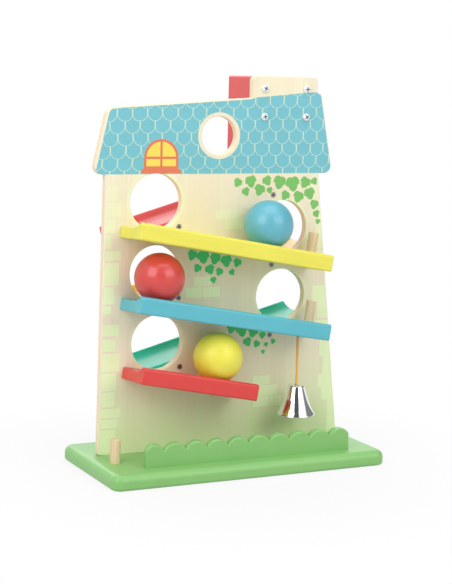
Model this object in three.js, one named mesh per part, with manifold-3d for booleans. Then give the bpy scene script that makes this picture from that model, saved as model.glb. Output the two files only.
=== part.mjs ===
// A wooden ball run: a house-shaped board on a green base, with six sloping rails.
// A ball dropped into the chimney rolls from side to side, through the holes in the board,
// until it drops off the lowest rail and rolls into a small bell.
// Millimetres, +Z up, +X to the right along the board, and the painted front faces -Y.
import * as THREE from "three";
import { mergeVertices } from "three/addons/utils/BufferGeometryUtils.js";
import Module from "manifold-3d";

const wasm = await Module();
wasm.setup();

// Clearances
const SEAT = 0.2; // between pieces that are screwed or glued face to face
const HOLE_PLAY = 0.25; // around a screw, dowel or peg in its hole
const BALL_GAP = 0.3; // between a ball and what it rolls on
const CUT_PAST = 1; // a cut runs this far past the face that it starts from

// Balls
const BALL_RADIUS = 23;
const RESTING_BALLS = [["blue", 33.5], ["red", -75.9], ["yellow", -15.7]]; // on each front rail, at x

// Base board
const BASE_LENGTH = 276;
const BASE_DEPTH = 133;
const BASE_THICKNESS = 14.4;
const BASE_CORNER = 9.5;
const BASE_TOP_ROUND = 7;
const BASE_FOOT_ROUND = 3;

// House board: its walls, roof and chimney are one outline
const PANEL_THICKNESS = 8;
const PANEL_FRONT = 9.2; // front face, behind the middle of the base
const PANEL_EDGE = 0.8; // eased edge
const WALL_FOOT_LEFT = -123.8;
const WALL_FOOT_RIGHT = 126.2;
const WALL_EAVE_LEFT = -119.8;
const WALL_EAVE_RIGHT = 97.6;
const EAVE_HEIGHT = 271;
const EAVE_TIP_LEFT = -132.2;
const EAVE_TIP_RIGHT = 112.6;
const EAVE_ROUND = 8;
const ROOF_TOP_LEFT = -118;
const ROOF_SHOULDER = 4; // from the chimney to the right end of the roof
const ROOF_RISE_LEFT = 60; // over the eave
const ROOF_RISE_RIGHT = 75.6;
const ROOF_CORNER = 9;
const ROOF_EASE = 1; // the roof's small corners
const ROOF_RIGHT_CORNER = 3;
const WALL_FOOT_ROUND = 1.5;
const CHIMNEY_WIDTH = 68.6;
const CHIMNEY_RISE = 15; // over the right end of the roof
const CHIMNEY_ROUND = 4.5;
const CHIMNEY_X = 60;

// Holes that let the balls through the board, each as [x, height]
const HOLE_RADIUS = 25.6;
const LEFT_HOLES = [[-70.5, 246.2], [-69.6, 180.7], [-67, 116.2]];
const RIGHT_HOLES = [[60, 220.4], [60, 154.9]];
const ROOF_HOLE_X = -8.2;
const ROOF_HOLE_RISE = 35.2; // over the eave
const ROOF_HOLE_RADIUS = 17.7;

// Rails: a strip with a hollowed floor and a wide cove that sweeps up to a lip along its outer edge
const RAIL_WIDTH = 47;
const RAIL_FLOOR = 11; // at the inner edge
const RAIL_HEIGHT = 15.4;
const RAIL_LIP = 4.4;
const RAIL_COVE = 24;
const RAIL_DISH = 0.7; // the floor, below its inner edge
const RAIL_DISH_RUN = 5;
const RAIL_ROUND = 2.4; // outer top edge
const RAIL_EASE = 1; // other edges
const RAIL_TILT = THREE.MathUtils.degToRad(3.3); // leans each rail's floor towards the board
const RAIL_TAIL = 35.5; // runs uphill past the hole that feeds it
const FRONT_HEAD = 28.2; // runs downhill past the hole that it feeds
const REAR_HEAD = 29.2;
const FRONT_SLOPES = [
  THREE.MathUtils.degToRad(10.2),
  THREE.MathUtils.degToRad(10.2),
  THREE.MathUtils.degToRad(11.4),
];
const REAR_SLOPES = [
  THREE.MathUtils.degToRad(16.2),
  THREE.MathUtils.degToRad(16.1),
  THREE.MathUtils.degToRad(15),
];
const LOWEST_RAIL_RUN = 80.4; // the lowest front rail, past the hole that feeds it
const ENTRY_DROP = 1.2; // step down from a hole onto the rail in front of it
const EXIT_RISE = 1.2; // a rear rail's floor over the lower edge of its hole

// Dowels
const DOWEL_RADIUS = 4.8;
const DOWEL_EDGE = 0.6;
const POST_HEIGHT = 24.4;
const POST_SINK = 6;
const POST_INSET = 16.5; // from the board, along the rail's floor
const PEG_HEIGHT = 21.6;
const PEG_SINK = 8;
const PEG_FROM_END = 18.9; // from the base's left end
const PEG_Y = -20.3;

// Hedge
const HEDGE_PITCH = 21.05;
const HEDGE_SCALLOPS = 10;
const HEDGE_RIGHT = 106.2;
const HEDGE_END_ROUND = 7.5; // the left end, from the middle of its scallop
const HEDGE_VALLEY = 15.4;
const HEDGE_RISE = 5.8;
const HEDGE_THICKNESS = 8;
const HEDGE_FRONT = -50.1;
const HEDGE_EDGE = 1.2;

// Chimney block behind the board
const BLOCK_WIDTH = 58;
const BLOCK_DEPTH = 57;
const BLOCK_FOOT_RISE = 2; // over the middle of a ball that has landed below
const BLOCK_EDGE = 2;
const BLOCK_CORNER = 3;
const BLOCK_BORE = 49;
const BLOCK_FRONT_WALL = 2.6;

// Screws
const PAN_HEAD = { headRadius: 3.7, headHeight: 2.4, shankRadius: 1.9, length: 22, sunk: false };
const RAIL_SCREW = { headRadius: 2.4, headHeight: 1.8, shankRadius: 1.4, length: 26, sunk: true };
const BASE_SCREW = { headRadius: 3.6, headHeight: 2.6, shankRadius: 1.7, length: 34, sunk: true };
const HEAD_SINK = 0.4; // a sunk head, below the face
const CROSS_WIDTH = 0.8;
const CHIMNEY_SCREW_SPAN = 44.2;
const CHIMNEY_SCREW_DROPS = [37.6, 11.6]; // below the chimney's top
const REAR_SCREW_FROM_LEFT = 23.3; // right of the left hole
const REAR_SCREW_FROM_RIGHT = 10.3; // left of the right hole
const FRONT_SCREW_RUNS = [30, 90]; // downhill of the hole that feeds the rail
const LOWEST_SCREW_RUNS = [30, 66];
const BASE_SCREW_PITCH = 90;

// Bell and its cord
const BELL_X = 67.4;
const BELL_RIM_RADIUS = 18.4;
const BELL_CROWN_RADIUS = 7.9;
const BELL_HEIGHT = 28.2;
const BELL_WALL = 1.2;
const BELL_SHOULDER = 1.6;
const BELL_FLARE = 0.22; // share of the widening that comes at the rim
const BELL_EYE = 1.7;
const CORD_RADIUS = 1.25;
const CORD_LENGTH = 47.8;
const CORD_TOP_GAP = 0.75; // lets the cord swing under the rail
const KNOT_RADIUS = 2.5;
const CLAPPER_RADIUS = 3;
const CLAPPER_ROD_RADIUS = 0.8;
const CLAPPER_DROP = 17; // from the knot to the middle of its ball

// Places that follow from the sizes above
const PANEL_REAR = PANEL_FRONT + PANEL_THICKNESS;
const BLOCK_FRONT = PANEL_REAR + SEAT;
const BLOCK_MIDDLE = BLOCK_FRONT + BLOCK_FRONT_WALL + BLOCK_BORE / 2;
const BALL_INSET = BALL_RADIUS + BALL_GAP;
const ROOF_LEFT = [ROOF_TOP_LEFT, EAVE_HEIGHT + ROOF_RISE_LEFT];
const CHIMNEY_LEFT = CHIMNEY_X - CHIMNEY_WIDTH / 2;
const CHIMNEY_RIGHT = CHIMNEY_X + CHIMNEY_WIDTH / 2;
const ROOF_RIGHT = [CHIMNEY_RIGHT + ROOF_SHOULDER, EAVE_HEIGHT + ROOF_RISE_RIGHT];
const ROOF_HOLE = [ROOF_HOLE_X, EAVE_HEIGHT + ROOF_HOLE_RISE];
const CHIMNEY_TOP = EAVE_HEIGHT + ROOF_RISE_RIGHT + CHIMNEY_RISE;
const PEG_PLACE = [PEG_FROM_END - BASE_LENGTH / 2, PEG_Y];

const PAINT = {
  green: [0x8cc373, 0.45],
  cream: [0xf8eecb, 0.6],
  red: [0xde5550, 0.4],
  yellow: [0xeee469, 0.4],
  blue: [0x69becd, 0.4],
  teal: [0x1ea57d, 0.4],
  gold: [0xfacd46, 0.4],
  wood: [0xe1b987, 0.6],
  cord: [0xe1a555, 0.8],
  steel: [0xd8dadc, 0.3, 1],
  chrome: [0xeceef0, 0.08, 1],
};

const toy = new THREE.Group();

// Shapes and solids

function solidOf(geometry) {
  const flat = geometry.index ? geometry.toNonIndexed() : geometry;
  const bare = new THREE.BufferGeometry();
  bare.setAttribute("position", flat.getAttribute("position").clone());
  const merged = mergeVertices(bare, 1e-4);
  const corners = merged.index.array;
  const kept = [];
  for (let i = 0; i < corners.length; i += 3) {
    const [a, b, c] = corners.slice(i, i + 3);
    if (a !== b && b !== c && c !== a) kept.push(a, b, c);
  }
  return new wasm.Manifold(
    new wasm.Mesh({
      numProp: 3,
      vertProperties: merged.attributes.position.array,
      triVerts: new Uint32Array(kept),
    }),
  );
}

function geometryOf(solid) {
  const mesh = solid.getMesh();
  const geometry = new THREE.BufferGeometry();
  geometry.setAttribute("position", new THREE.BufferAttribute(mesh.vertProperties, 3));
  geometry.setIndex(new THREE.BufferAttribute(mesh.triVerts, 1));
  geometry.computeVertexNormals();
  return geometry;
}

function cut(geometry, tools) {
  return geometryOf(tools.reduce((solid, tool) => solid.subtract(solidOf(tool)), solidOf(geometry)));
}

function join(first, second) {
  return geometryOf(solidOf(first).add(solidOf(second)));
}

function addPiece(name, geometry, paint, parent = toy) {
  const [color, roughness, metalness = 0] = PAINT[paint];
  const mesh = new THREE.Mesh(geometry, new THREE.MeshStandardMaterial({ color, roughness, metalness }));
  mesh.name = name;
  parent.add(mesh);
  return mesh;
}

// A round bar along +Z that starts at z = 0.
function rod(radius, length, sides = 16) {
  const bar = new THREE.CylinderGeometry(radius, radius, length, sides);
  return bar.rotateX(Math.PI / 2).translate(0, 0, length / 2);
}

function arcPoints(centre, radius, from, to, steps) {
  return Array.from({ length: steps + 1 }, (_, i) => {
    const angle = from + ((to - from) * i) / steps;
    return new THREE.Vector2(centre[0] + radius * Math.cos(angle), centre[1] + radius * Math.sin(angle));
  });
}

function circle(centre, radius, steps) {
  return arcPoints(centre, radius, 0, 2 * Math.PI, steps).slice(0, -1);
}

// A closed outline whose corners, each [x, y, radius], are rounded with tangent arcs.
function roundedOutline(corners, stepAngle = Math.PI / 10) {
  return corners.flatMap(([x, y, radius], i) => {
    const here = new THREE.Vector2(x, y);
    if (!radius) return [here];
    const before = new THREE.Vector2(...corners.at(i - 1).slice(0, 2));
    const after = new THREE.Vector2(...corners[(i + 1) % corners.length].slice(0, 2));
    const arriving = here.clone().sub(before).normalize();
    const leaving = after.clone().sub(here).normalize();
    const turn = Math.atan2(arriving.cross(leaving), arriving.dot(leaving));
    const setback = radius * Math.tan(Math.abs(turn) / 2);
    const side = Math.sign(turn);
    const start = here.clone().addScaledVector(arriving, -setback);
    const centre = [start.x - arriving.y * side * radius, start.y + arriving.x * side * radius];
    const from = Math.atan2(start.y - centre[1], start.x - centre[0]);
    return arcPoints(centre, radius, from, from + turn, Math.max(2, Math.ceil(Math.abs(turn) / stepAngle)));
  });
}

function roundedRectangle(width, depth, corner, stepAngle) {
  const [x, y] = [width / 2, depth / 2];
  const places = [[-x, -y], [x, -y], [x, y], [-x, y]];
  return new THREE.Shape(roundedOutline(places.map((place) => [...place, corner]), stepAngle));
}

// A turned piece about +Z, from a profile of [radius, height] that runs up its outside.
function turned(profile, sides) {
  const points = profile.map(([radius, height]) => new THREE.Vector2(radius, height));
  return new THREE.LatheGeometry(points, sides).rotateX(Math.PI / 2);
}

// A board of the given outline, along +Z from z = 0, with eased edges that keep the outline's size.
function board(shape, thickness, edge, edgeSteps) {
  const blank = new THREE.ExtrudeGeometry(shape, {
    depth: thickness - 2 * edge,
    bevelThickness: edge,
    bevelSize: edge,
    bevelOffset: -edge,
    bevelSegments: edgeSteps,
  });
  return blank.translate(0, 0, edge);
}

// Stands a flat board up: its outline lies in X and Z, and its thickness runs from y = 0 to the front.
function standUp(geometry) {
  return geometry.rotateX(Math.PI / 2);
}

// Screws, with the underside of the head, or the face that it is sunk in, at z = 0

function screwGeometry({ headRadius, headHeight, shankRadius, length, sunk }) {
  const top = sunk ? -HEAD_SINK : headHeight;
  const neck = sunk ? top - headHeight : 0;
  const crown = sunk ? [[headRadius, top - 0.3], [headRadius, top]] : [
    [headRadius, 0],
    [headRadius, headHeight * 0.45],
    [headRadius * 0.72, headHeight * 0.88],
  ];
  const profile = [
    [0, -length],
    [shankRadius, -length + 2 * shankRadius],
    [shankRadius, neck],
    ...crown,
    [0, top],
  ];
  const blank = turned(profile, 10);
  const arm = headRadius * 1.1;
  const deep = headHeight * 0.9;
  const slots = [[arm, CROSS_WIDTH], [CROSS_WIDTH, arm]].map(([w, h]) => {
    return new THREE.BoxGeometry(w, h, deep).translate(0, 0, top);
  });
  return cut(blank, [join(...slots)]);
}

// The hole that a screw needs, along -Z from the face at z = 0.
function screwHole({ headRadius, headHeight, shankRadius, sunk }, depth) {
  const radius = shankRadius + HOLE_PLAY;
  const shaft = rod(radius, depth + CUT_PAST, 10).translate(0, 0, -depth);
  if (!sunk) return shaft;
  const recess = HEAD_SINK + headHeight + HOLE_PLAY;
  return join(shaft, rod(headRadius + HOLE_PLAY, recess + CUT_PAST, 12).translate(0, 0, -recess));
}

// The blind hole that takes the point of a screw, along -Z from z = 0.
function pilotHole({ shankRadius, length }, throughDepth) {
  const depth = length - throughDepth + HOLE_PLAY;
  return rod(shankRadius + HOLE_PLAY, depth + CUT_PAST, 10).translate(0, 0, -depth);
}

// Rails

// The rail's own frame: X uphill from its low end, Y away from the board, Z square to its length.
function railBlank(length) {
  const floor = RAIL_FLOOR - RAIL_DISH;
  const sweep = Math.acos(1 - (RAIL_HEIGHT - floor) / RAIL_COVE);
  const coveFoot = RAIL_WIDTH - RAIL_LIP - RAIL_COVE * Math.sin(sweep);
  const cove = arcPoints([coveFoot, floor + RAIL_COVE], RAIL_COVE, sweep - Math.PI / 2, -Math.PI / 2, 6);
  const innerTop = RAIL_FLOOR * Math.tan(RAIL_TILT);
  const outline = roundedOutline([
    [0, 0, 0],
    [RAIL_WIDTH, 0, RAIL_EASE],
    [RAIL_WIDTH, RAIL_HEIGHT, RAIL_ROUND],
    ...cove.map(({ x, y }, i) => [x, y, i ? 0 : RAIL_EASE]),
    [innerTop + RAIL_DISH_RUN, floor, 0],
    [innerTop, RAIL_FLOOR, RAIL_EASE],
  ]);
  const strip = new THREE.ExtrudeGeometry(new THREE.Shape(outline), { depth: length, bevelEnabled: false });
  const lengthways = new THREE.Matrix4().makeBasis(
    new THREE.Vector3(0, 1, 0),
    new THREE.Vector3(0, 0, 1),
    new THREE.Vector3(1, 0, 0),
  );
  return strip.applyMatrix4(lengthways).rotateX(RAIL_TILT);
}

// Where a ball's middle is in a rail's section, as [from the board, above the rail's lower inner edge].
function ballSeat() {
  const inset = BALL_INSET - SEAT;
  const stack = RAIL_FLOOR - RAIL_DISH + BALL_RADIUS + BALL_GAP;
  return [inset, stack / Math.cos(RAIL_TILT) + inset * Math.tan(RAIL_TILT)];
}

// A rail is set by the height of its floor at one hole; its group's X axis runs uphill.
function railPlace({ front, slope, atX, floorHeight, lowX, highX }) {
  const downhill = front ? 1 : -1;
  const innerHeight = RAIL_FLOOR / Math.cos(RAIL_TILT);
  const lowZ = floorHeight - innerHeight / Math.cos(slope) - (lowX - atX) * downhill * Math.tan(slope);
  return {
    front,
    slope,
    lowX,
    lowZ,
    downhill,
    length: Math.abs(highX - lowX) / Math.cos(slope),
    face: front ? PANEL_FRONT - SEAT : PANEL_REAR + SEAT,
  };
}

function railGroup({ front, slope, lowX, lowZ, face }) {
  const group = new THREE.Group();
  group.position.set(lowX, face, lowZ);
  group.rotation.set(0, -slope, front ? Math.PI : 0, "ZYX");
  toy.add(group);
  return group;
}

// How far up the rail a point of the board at x lies, at a given height over the rail's lower edge.
function alongRail({ slope, lowX, downhill }, x, height) {
  return ((lowX - x) * downhill) / Math.cos(slope) + height * Math.tan(slope);
}

function lowerEdge({ slope, lowX, lowZ, downhill }, x) {
  return lowZ + (lowX - x) * downhill * Math.tan(slope);
}

function ballPlace(rail, x) {
  const [inset, height] = ballSeat();
  const outwards = rail.front ? -1 : 1;
  return [x, rail.face + outwards * inset, lowerEdge(rail, x) + height / Math.cos(rail.slope)];
}

// A post stands on the rail's floor where it stops a ball in front of the hole at x.
function postPlace(rail, x) {
  const [inset, height] = ballSeat();
  const ballInset = inset * Math.cos(RAIL_TILT) + height * Math.sin(RAIL_TILT);
  const reach = BALL_RADIUS + DOWEL_RADIUS + BALL_GAP;
  return alongRail(rail, x, height) - Math.sqrt(reach ** 2 - (ballInset - POST_INSET) ** 2);
}

function onRailFloor(geometry, along) {
  const placed = geometry.translate(0, POST_INSET, RAIL_FLOOR - RAIL_DISH);
  return placed.rotateX(RAIL_TILT).translate(along, 0, 0);
}

function dowel(height) {
  const rim = [[DOWEL_RADIUS, height - DOWEL_EDGE], [DOWEL_RADIUS - DOWEL_EDGE, height]];
  return turned([[0, 0], [DOWEL_RADIUS, 0], ...rim, [0, height]], 16);
}

// Builds one rail with its screws and, where it feeds a hole, its post; screwXs are places on the board.
function addRail(name, paint, rail, screwXs, stopX) {
  const group = railGroup(rail);
  const screwLevel = RAIL_FLOOR / 2;
  const tools = screwXs.map((x) => {
    const hole = pilotHole(RAIL_SCREW, PANEL_THICKNESS + SEAT).rotateX(Math.PI / 2);
    return hole.translate(alongRail(rail, x, screwLevel), 0, screwLevel);
  });
  if (stopX !== undefined) {
    const along = postPlace(rail, stopX);
    const socket = rod(DOWEL_RADIUS + HOLE_PLAY, POST_SINK + HOLE_PLAY + 2 * RAIL_DISH);
    tools.push(onRailFloor(socket.translate(0, 0, -POST_SINK - HOLE_PLAY), along));
    const post = onRailFloor(dowel(POST_HEIGHT + POST_SINK).translate(0, 0, -POST_SINK), along);
    addPiece(name.replace("rail", "stop_post"), post, "wood", group);
  }
  addPiece(name, cut(railBlank(rail.length), tools), paint, group);
  const headY = rail.front ? PANEL_REAR : PANEL_FRONT;
  screwXs.forEach((x, i) => {
    const screw = addPiece(`${name}_screw_${i + 1}`, screwGeometry(RAIL_SCREW), "steel");
    screw.position.set(x, headY, lowerEdge(rail, x) + screwLevel / Math.cos(rail.slope));
    screw.rotation.x = rail.front ? -Math.PI / 2 : Math.PI / 2;
  });
  return screwXs.map((x) => [x, lowerEdge(rail, x) + screwLevel / Math.cos(rail.slope)]);
}

function holeBottom([, z]) {
  return z - HOLE_RADIUS;
}

function frontRail(level) {
  const [atX] = LEFT_HOLES[level];
  const exit = RIGHT_HOLES[level];
  return railPlace({
    front: true,
    slope: FRONT_SLOPES[level],
    atX,
    floorHeight: holeBottom(LEFT_HOLES[level]) - ENTRY_DROP,
    lowX: exit ? exit[0] + FRONT_HEAD : atX + LOWEST_RAIL_RUN,
    highX: atX - RAIL_TAIL,
  });
}

function rearRail(level) {
  const [atX] = LEFT_HOLES[level];
  const feedX = level ? RIGHT_HOLES[level - 1][0] : CHIMNEY_X;
  return railPlace({
    front: false,
    slope: REAR_SLOPES[level],
    atX,
    floorHeight: holeBottom(LEFT_HOLES[level]) + EXIT_RISE,
    lowX: atX - REAR_HEAD,
    highX: feedX + RAIL_TAIL,
  });
}

const LEVELS = ["upper", "middle", "lower"];
const frontRails = LEVELS.map((_, level) => frontRail(level));
const rearRails = LEVELS.map((_, level) => rearRail(level));

// Six rails
const frontScrewPlaces = LEVELS.flatMap((level, i) => {
  const [holeX] = LEFT_HOLES[i];
  const exit = RIGHT_HOLES[i];
  const runs = exit ? FRONT_SCREW_RUNS : LOWEST_SCREW_RUNS;
  const paint = ["yellow", "blue", "red"][i];
  return addRail(`front_rail_${level}`, paint, frontRails[i], runs.map((run) => holeX + run), exit?.[0]);
});
const rearScrewPlaces = LEVELS.flatMap((level, i) => {
  const [holeX] = LEFT_HOLES[i];
  const feedX = i ? RIGHT_HOLES[i - 1][0] : CHIMNEY_X;
  const screwXs = [holeX + REAR_SCREW_FROM_LEFT, feedX - REAR_SCREW_FROM_RIGHT];
  const paint = ["red", "gold", "teal"][i];
  return addRail(`rear_rail_${level}`, paint, rearRails[i], screwXs, holeX);
});

// House board
const chimneyScrewPlaces = CHIMNEY_SCREW_DROPS.flatMap((drop) => [
  [CHIMNEY_X - CHIMNEY_SCREW_SPAN / 2, CHIMNEY_TOP - drop],
  [CHIMNEY_X + CHIMNEY_SCREW_SPAN / 2, CHIMNEY_TOP - drop],
]);
const baseScrewXs = [-BASE_SCREW_PITCH, 0, BASE_SCREW_PITCH];

function roofLineAt(x) {
  const share = (x - ROOF_LEFT[0]) / (ROOF_RIGHT[0] - ROOF_LEFT[0]);
  return ROOF_LEFT[1] + share * (ROOF_RIGHT[1] - ROOF_LEFT[1]);
}

function addHousePanel() {
  const foot = BASE_THICKNESS + SEAT;
  const outline = roundedOutline([
    [WALL_FOOT_LEFT, foot, WALL_FOOT_ROUND],
    [WALL_FOOT_RIGHT, foot, WALL_FOOT_ROUND],
    [WALL_EAVE_RIGHT, EAVE_HEIGHT, ROOF_EASE],
    [EAVE_TIP_RIGHT, EAVE_HEIGHT, EAVE_ROUND],
    [...ROOF_RIGHT, ROOF_RIGHT_CORNER],
    [CHIMNEY_RIGHT, roofLineAt(CHIMNEY_RIGHT), ROOF_EASE],
    [CHIMNEY_RIGHT, CHIMNEY_TOP, CHIMNEY_ROUND],
    [CHIMNEY_LEFT, CHIMNEY_TOP, CHIMNEY_ROUND],
    [CHIMNEY_LEFT, roofLineAt(CHIMNEY_LEFT), ROOF_EASE],
    [...ROOF_LEFT, ROOF_CORNER],
    [EAVE_TIP_LEFT, EAVE_HEIGHT, EAVE_ROUND],
    [WALL_EAVE_LEFT, EAVE_HEIGHT, ROOF_EASE],
  ]);
  const shape = new THREE.Shape(outline);
  const holes = [...LEFT_HOLES, ...RIGHT_HOLES].map((place) => circle(place, HOLE_RADIUS, 32));
  holes.push(circle(ROOF_HOLE, ROOF_HOLE_RADIUS, 26));
  shape.holes = holes.map((points) => new THREE.Path(points));
  const blank = board(shape, PANEL_THICKNESS, PANEL_EDGE, 1);
  const through = PANEL_THICKNESS + CUT_PAST;
  const fromFront = (hole, [x, z]) => hole.translate(x, z, PANEL_THICKNESS);
  const fromRear = (hole, [x, z]) => hole.rotateX(Math.PI).translate(x, z, 0);
  const tools = [
    ...chimneyScrewPlaces.map((place) => fromFront(screwHole(PAN_HEAD, through), place)),
    ...rearScrewPlaces.map((place) => fromFront(screwHole(RAIL_SCREW, through), place)),
    ...frontScrewPlaces.map((place) => fromRear(screwHole(RAIL_SCREW, through), place)),
    ...baseScrewXs.map((x) => {
      const hole = pilotHole(BASE_SCREW, BASE_THICKNESS + SEAT);
      return hole.rotateX(Math.PI / 2).translate(x, foot, PANEL_THICKNESS / 2);
    }),
  ];
  const panel = addPiece("house_panel", standUp(cut(blank, tools)), "cream");
  panel.position.y = PANEL_REAR;
}
addHousePanel();

// Base board, with a full round along the top edge and a small one at the foot
function roundedSlab(round) {
  const outline = roundedRectangle(BASE_LENGTH, BASE_DEPTH, BASE_CORNER, Math.PI / 12);
  return board(outline, BASE_THICKNESS, round, 4);
}

function addBase() {
  const lowerHalf = new THREE.BoxGeometry(2 * BASE_LENGTH, 2 * BASE_DEPTH, BASE_THICKNESS);
  const upperHalf = lowerHalf.clone().translate(0, 0, BASE_THICKNESS);
  const upper = cut(roundedSlab(BASE_TOP_ROUND), [lowerHalf]);
  const lower = cut(roundedSlab(BASE_FOOT_ROUND), [upperHalf]);
  const tools = baseScrewXs.map((x) => {
    const hole = screwHole(BASE_SCREW, BASE_THICKNESS + CUT_PAST).rotateX(Math.PI);
    return hole.translate(x, PANEL_FRONT + PANEL_THICKNESS / 2, 0);
  });
  const socket = rod(DOWEL_RADIUS + HOLE_PLAY, PEG_SINK + HOLE_PLAY + CUT_PAST);
  tools.push(socket.translate(...PEG_PLACE, BASE_THICKNESS - PEG_SINK - HOLE_PLAY));
  addPiece("base_board", cut(join(upper, lower), tools), "green");
}
addBase();

baseScrewXs.forEach((x, i) => {
  const screw = addPiece(`base_screw_${i + 1}`, screwGeometry(BASE_SCREW), "steel");
  screw.position.set(x, PANEL_FRONT + PANEL_THICKNESS / 2, 0);
  screw.rotation.x = Math.PI;
});

const peg = addPiece("ball_peg", dowel(PEG_HEIGHT + PEG_SINK), "wood");
peg.position.set(...PEG_PLACE, BASE_THICKNESS - PEG_SINK);

// Hedge: a row of scallops that keeps the balls on the base
function addHedge() {
  const radius = ((HEDGE_PITCH / 2) ** 2 + HEDGE_RISE ** 2) / (2 * HEDGE_RISE);
  const half = Math.asin(HEDGE_PITCH / 2 / radius);
  const top = [];
  for (let i = 0; i < HEDGE_SCALLOPS; i += 1) {
    const middle = [HEDGE_RIGHT - HEDGE_PITCH * (i + 0.5), HEDGE_VALLEY + HEDGE_RISE - radius];
    const arc = arcPoints(middle, radius, Math.PI / 2 - half, Math.PI / 2 + half, 6);
    top.push(...(i ? arc.slice(1) : arc));
  }
  const endX = HEDGE_RIGHT - HEDGE_PITCH * (HEDGE_SCALLOPS - 0.5);
  const endZ = HEDGE_VALLEY + HEDGE_RISE - HEDGE_END_ROUND;
  const end = arcPoints([endX, endZ], HEDGE_END_ROUND, Math.PI / 2, Math.PI, 6);
  const kept = top.filter((point) => point.x > endX + HEDGE_EDGE);
  const corners = [[end.at(-1).x, 0], [HEDGE_RIGHT, 0]].map(([x, y]) => new THREE.Vector2(x, y));
  const outline = [...corners, ...kept, ...end];
  const blank = board(new THREE.Shape(outline), HEDGE_THICKNESS, HEDGE_EDGE, 1);
  const hedge = addPiece("hedge_board", standUp(blank), "green");
  hedge.position.set(0, HEDGE_FRONT + HEDGE_THICKNESS, BASE_THICKNESS);
}
addHedge();

// Chimney block: bored from top to bottom, with an arch on its left where the ball rolls out
function addChimneyBlock() {
  const rail = rearRails[0];
  const [, , ballZ] = ballPlace(rail, CHIMNEY_X);
  const foot = ballZ + BLOCK_FOOT_RISE;
  const length = CHIMNEY_TOP - foot;
  const shape = roundedRectangle(BLOCK_WIDTH, BLOCK_DEPTH, BLOCK_CORNER);
  const blank = board(shape, length, BLOCK_EDGE, 2);
  blank.translate(CHIMNEY_X, BLOCK_FRONT + BLOCK_DEPTH / 2, foot);
  const bore = rod(BLOCK_BORE / 2, length + 2 * CUT_PAST, 40);
  bore.translate(CHIMNEY_X, BLOCK_MIDDLE, foot - CUT_PAST);
  const arch = rod(BLOCK_BORE / 2, BLOCK_WIDTH, 40).rotateY(-Math.PI / 2 - rail.slope);
  arch.translate(CHIMNEY_X, BLOCK_MIDDLE, ballZ);
  const pilots = chimneyScrewPlaces.map(([screwX, z]) => {
    const hole = pilotHole(PAN_HEAD, PANEL_THICKNESS + SEAT).rotateX(Math.PI / 2);
    return hole.translate(screwX, BLOCK_FRONT, z);
  });
  addPiece("chimney_block", cut(blank, [bore, arch, ...pilots]), "red");
}
addChimneyBlock();

chimneyScrewPlaces.forEach(([x, z], i) => {
  const screw = addPiece(`chimney_screw_${i + 1}`, screwGeometry(PAN_HEAD), "steel");
  screw.position.set(x, PANEL_FRONT - SEAT, z);
  screw.rotation.x = Math.PI / 2;
});

// Balls, each resting part of the way along a front rail
RESTING_BALLS.forEach(([paint, x], level) => {
  const ball = addPiece(`ball_${paint}`, new THREE.SphereGeometry(BALL_RADIUS, 24, 14), paint);
  ball.position.set(...ballPlace(frontRails[level], x));
});

// Bell, hung on its cord under the middle front rail
function addBell() {
  const rail = frontRails[1];
  const inset = RAIL_WIDTH / 2;
  const bellY = rail.face - inset;
  const underside = lowerEdge(rail, BELL_X) + (inset * Math.tan(RAIL_TILT)) / Math.cos(rail.slope);
  const cordTop = underside - CORD_TOP_GAP;
  const crown = cordTop - CORD_LENGTH + BELL_WALL + BALL_GAP;

  const hung = new THREE.Group();
  hung.position.set(BELL_X, bellY, 0);
  toy.add(hung);

  const section = new THREE.Shape(circle([0, 0], CORD_RADIUS, 8));
  const cordEnds = [cordTop - CORD_LENGTH, cordTop].map((z) => new THREE.Vector3(0, 0, z));
  const path = new THREE.LineCurve3(...cordEnds);
  const cord = new THREE.ExtrudeGeometry(section, { steps: 8, extrudePath: path, bevelEnabled: false });
  addPiece("bell_cord", cord, "cord", hung);

  const knotZ = cordTop - CORD_LENGTH - KNOT_RADIUS - BALL_GAP;
  const knot = new THREE.SphereGeometry(KNOT_RADIUS, 12, 6);
  addPiece("cord_knot", knot, "cord", hung).position.z = knotZ;

  const widen = (t) => (1 - BELL_FLARE) * t + BELL_FLARE * t ** 4;
  const steps = 5;
  const outer = [];
  for (let i = steps; i >= 0; i -= 1) {
    const t = i / steps;
    const radius = BELL_CROWN_RADIUS + (BELL_RIM_RADIUS - BELL_CROWN_RADIUS) * widen(t);
    outer.push([radius, -BELL_SHOULDER - (BELL_HEIGHT - BELL_SHOULDER) * t]);
  }
  const inner = outer.map(([r, z]) => [r - BELL_WALL, Math.min(z, -BELL_WALL - 0.4)]).reverse();
  inner[0][0] -= BELL_WALL / 2;
  inner.at(-1)[1] = -BELL_HEIGHT;
  const profile = [
    [BELL_EYE, -BELL_WALL],
    [inner[0][0] - 0.6, -BELL_WALL],
    ...inner,
    ...outer,
    [BELL_CROWN_RADIUS - BELL_SHOULDER, 0],
    [BELL_EYE, 0],
    [BELL_EYE, -BELL_WALL],
  ];
  addPiece("bell", turned(profile, 28), "chrome", hung).position.z = crown;

  const clapperTop = -KNOT_RADIUS - BALL_GAP;
  const joinZ = -CLAPPER_DROP + Math.sqrt(CLAPPER_RADIUS ** 2 - CLAPPER_ROD_RADIUS ** 2);
  const reach = Math.asin(CLAPPER_ROD_RADIUS / CLAPPER_RADIUS);
  const bulb = arcPoints([0, -CLAPPER_DROP], CLAPPER_RADIUS, -Math.PI / 2, Math.PI / 2 - reach, 6);
  bulb[0].x = 0;
  bulb[bulb.length - 1].set(CLAPPER_ROD_RADIUS, joinZ);
  const stem = [[CLAPPER_ROD_RADIUS, clapperTop], [0, clapperTop]];
  const clapper = turned([...bulb.map((point) => point.toArray()), ...stem], 12);
  addPiece("bell_clapper", clapper, "steel", hung).position.z = knotZ;
}
addBell();

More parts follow.
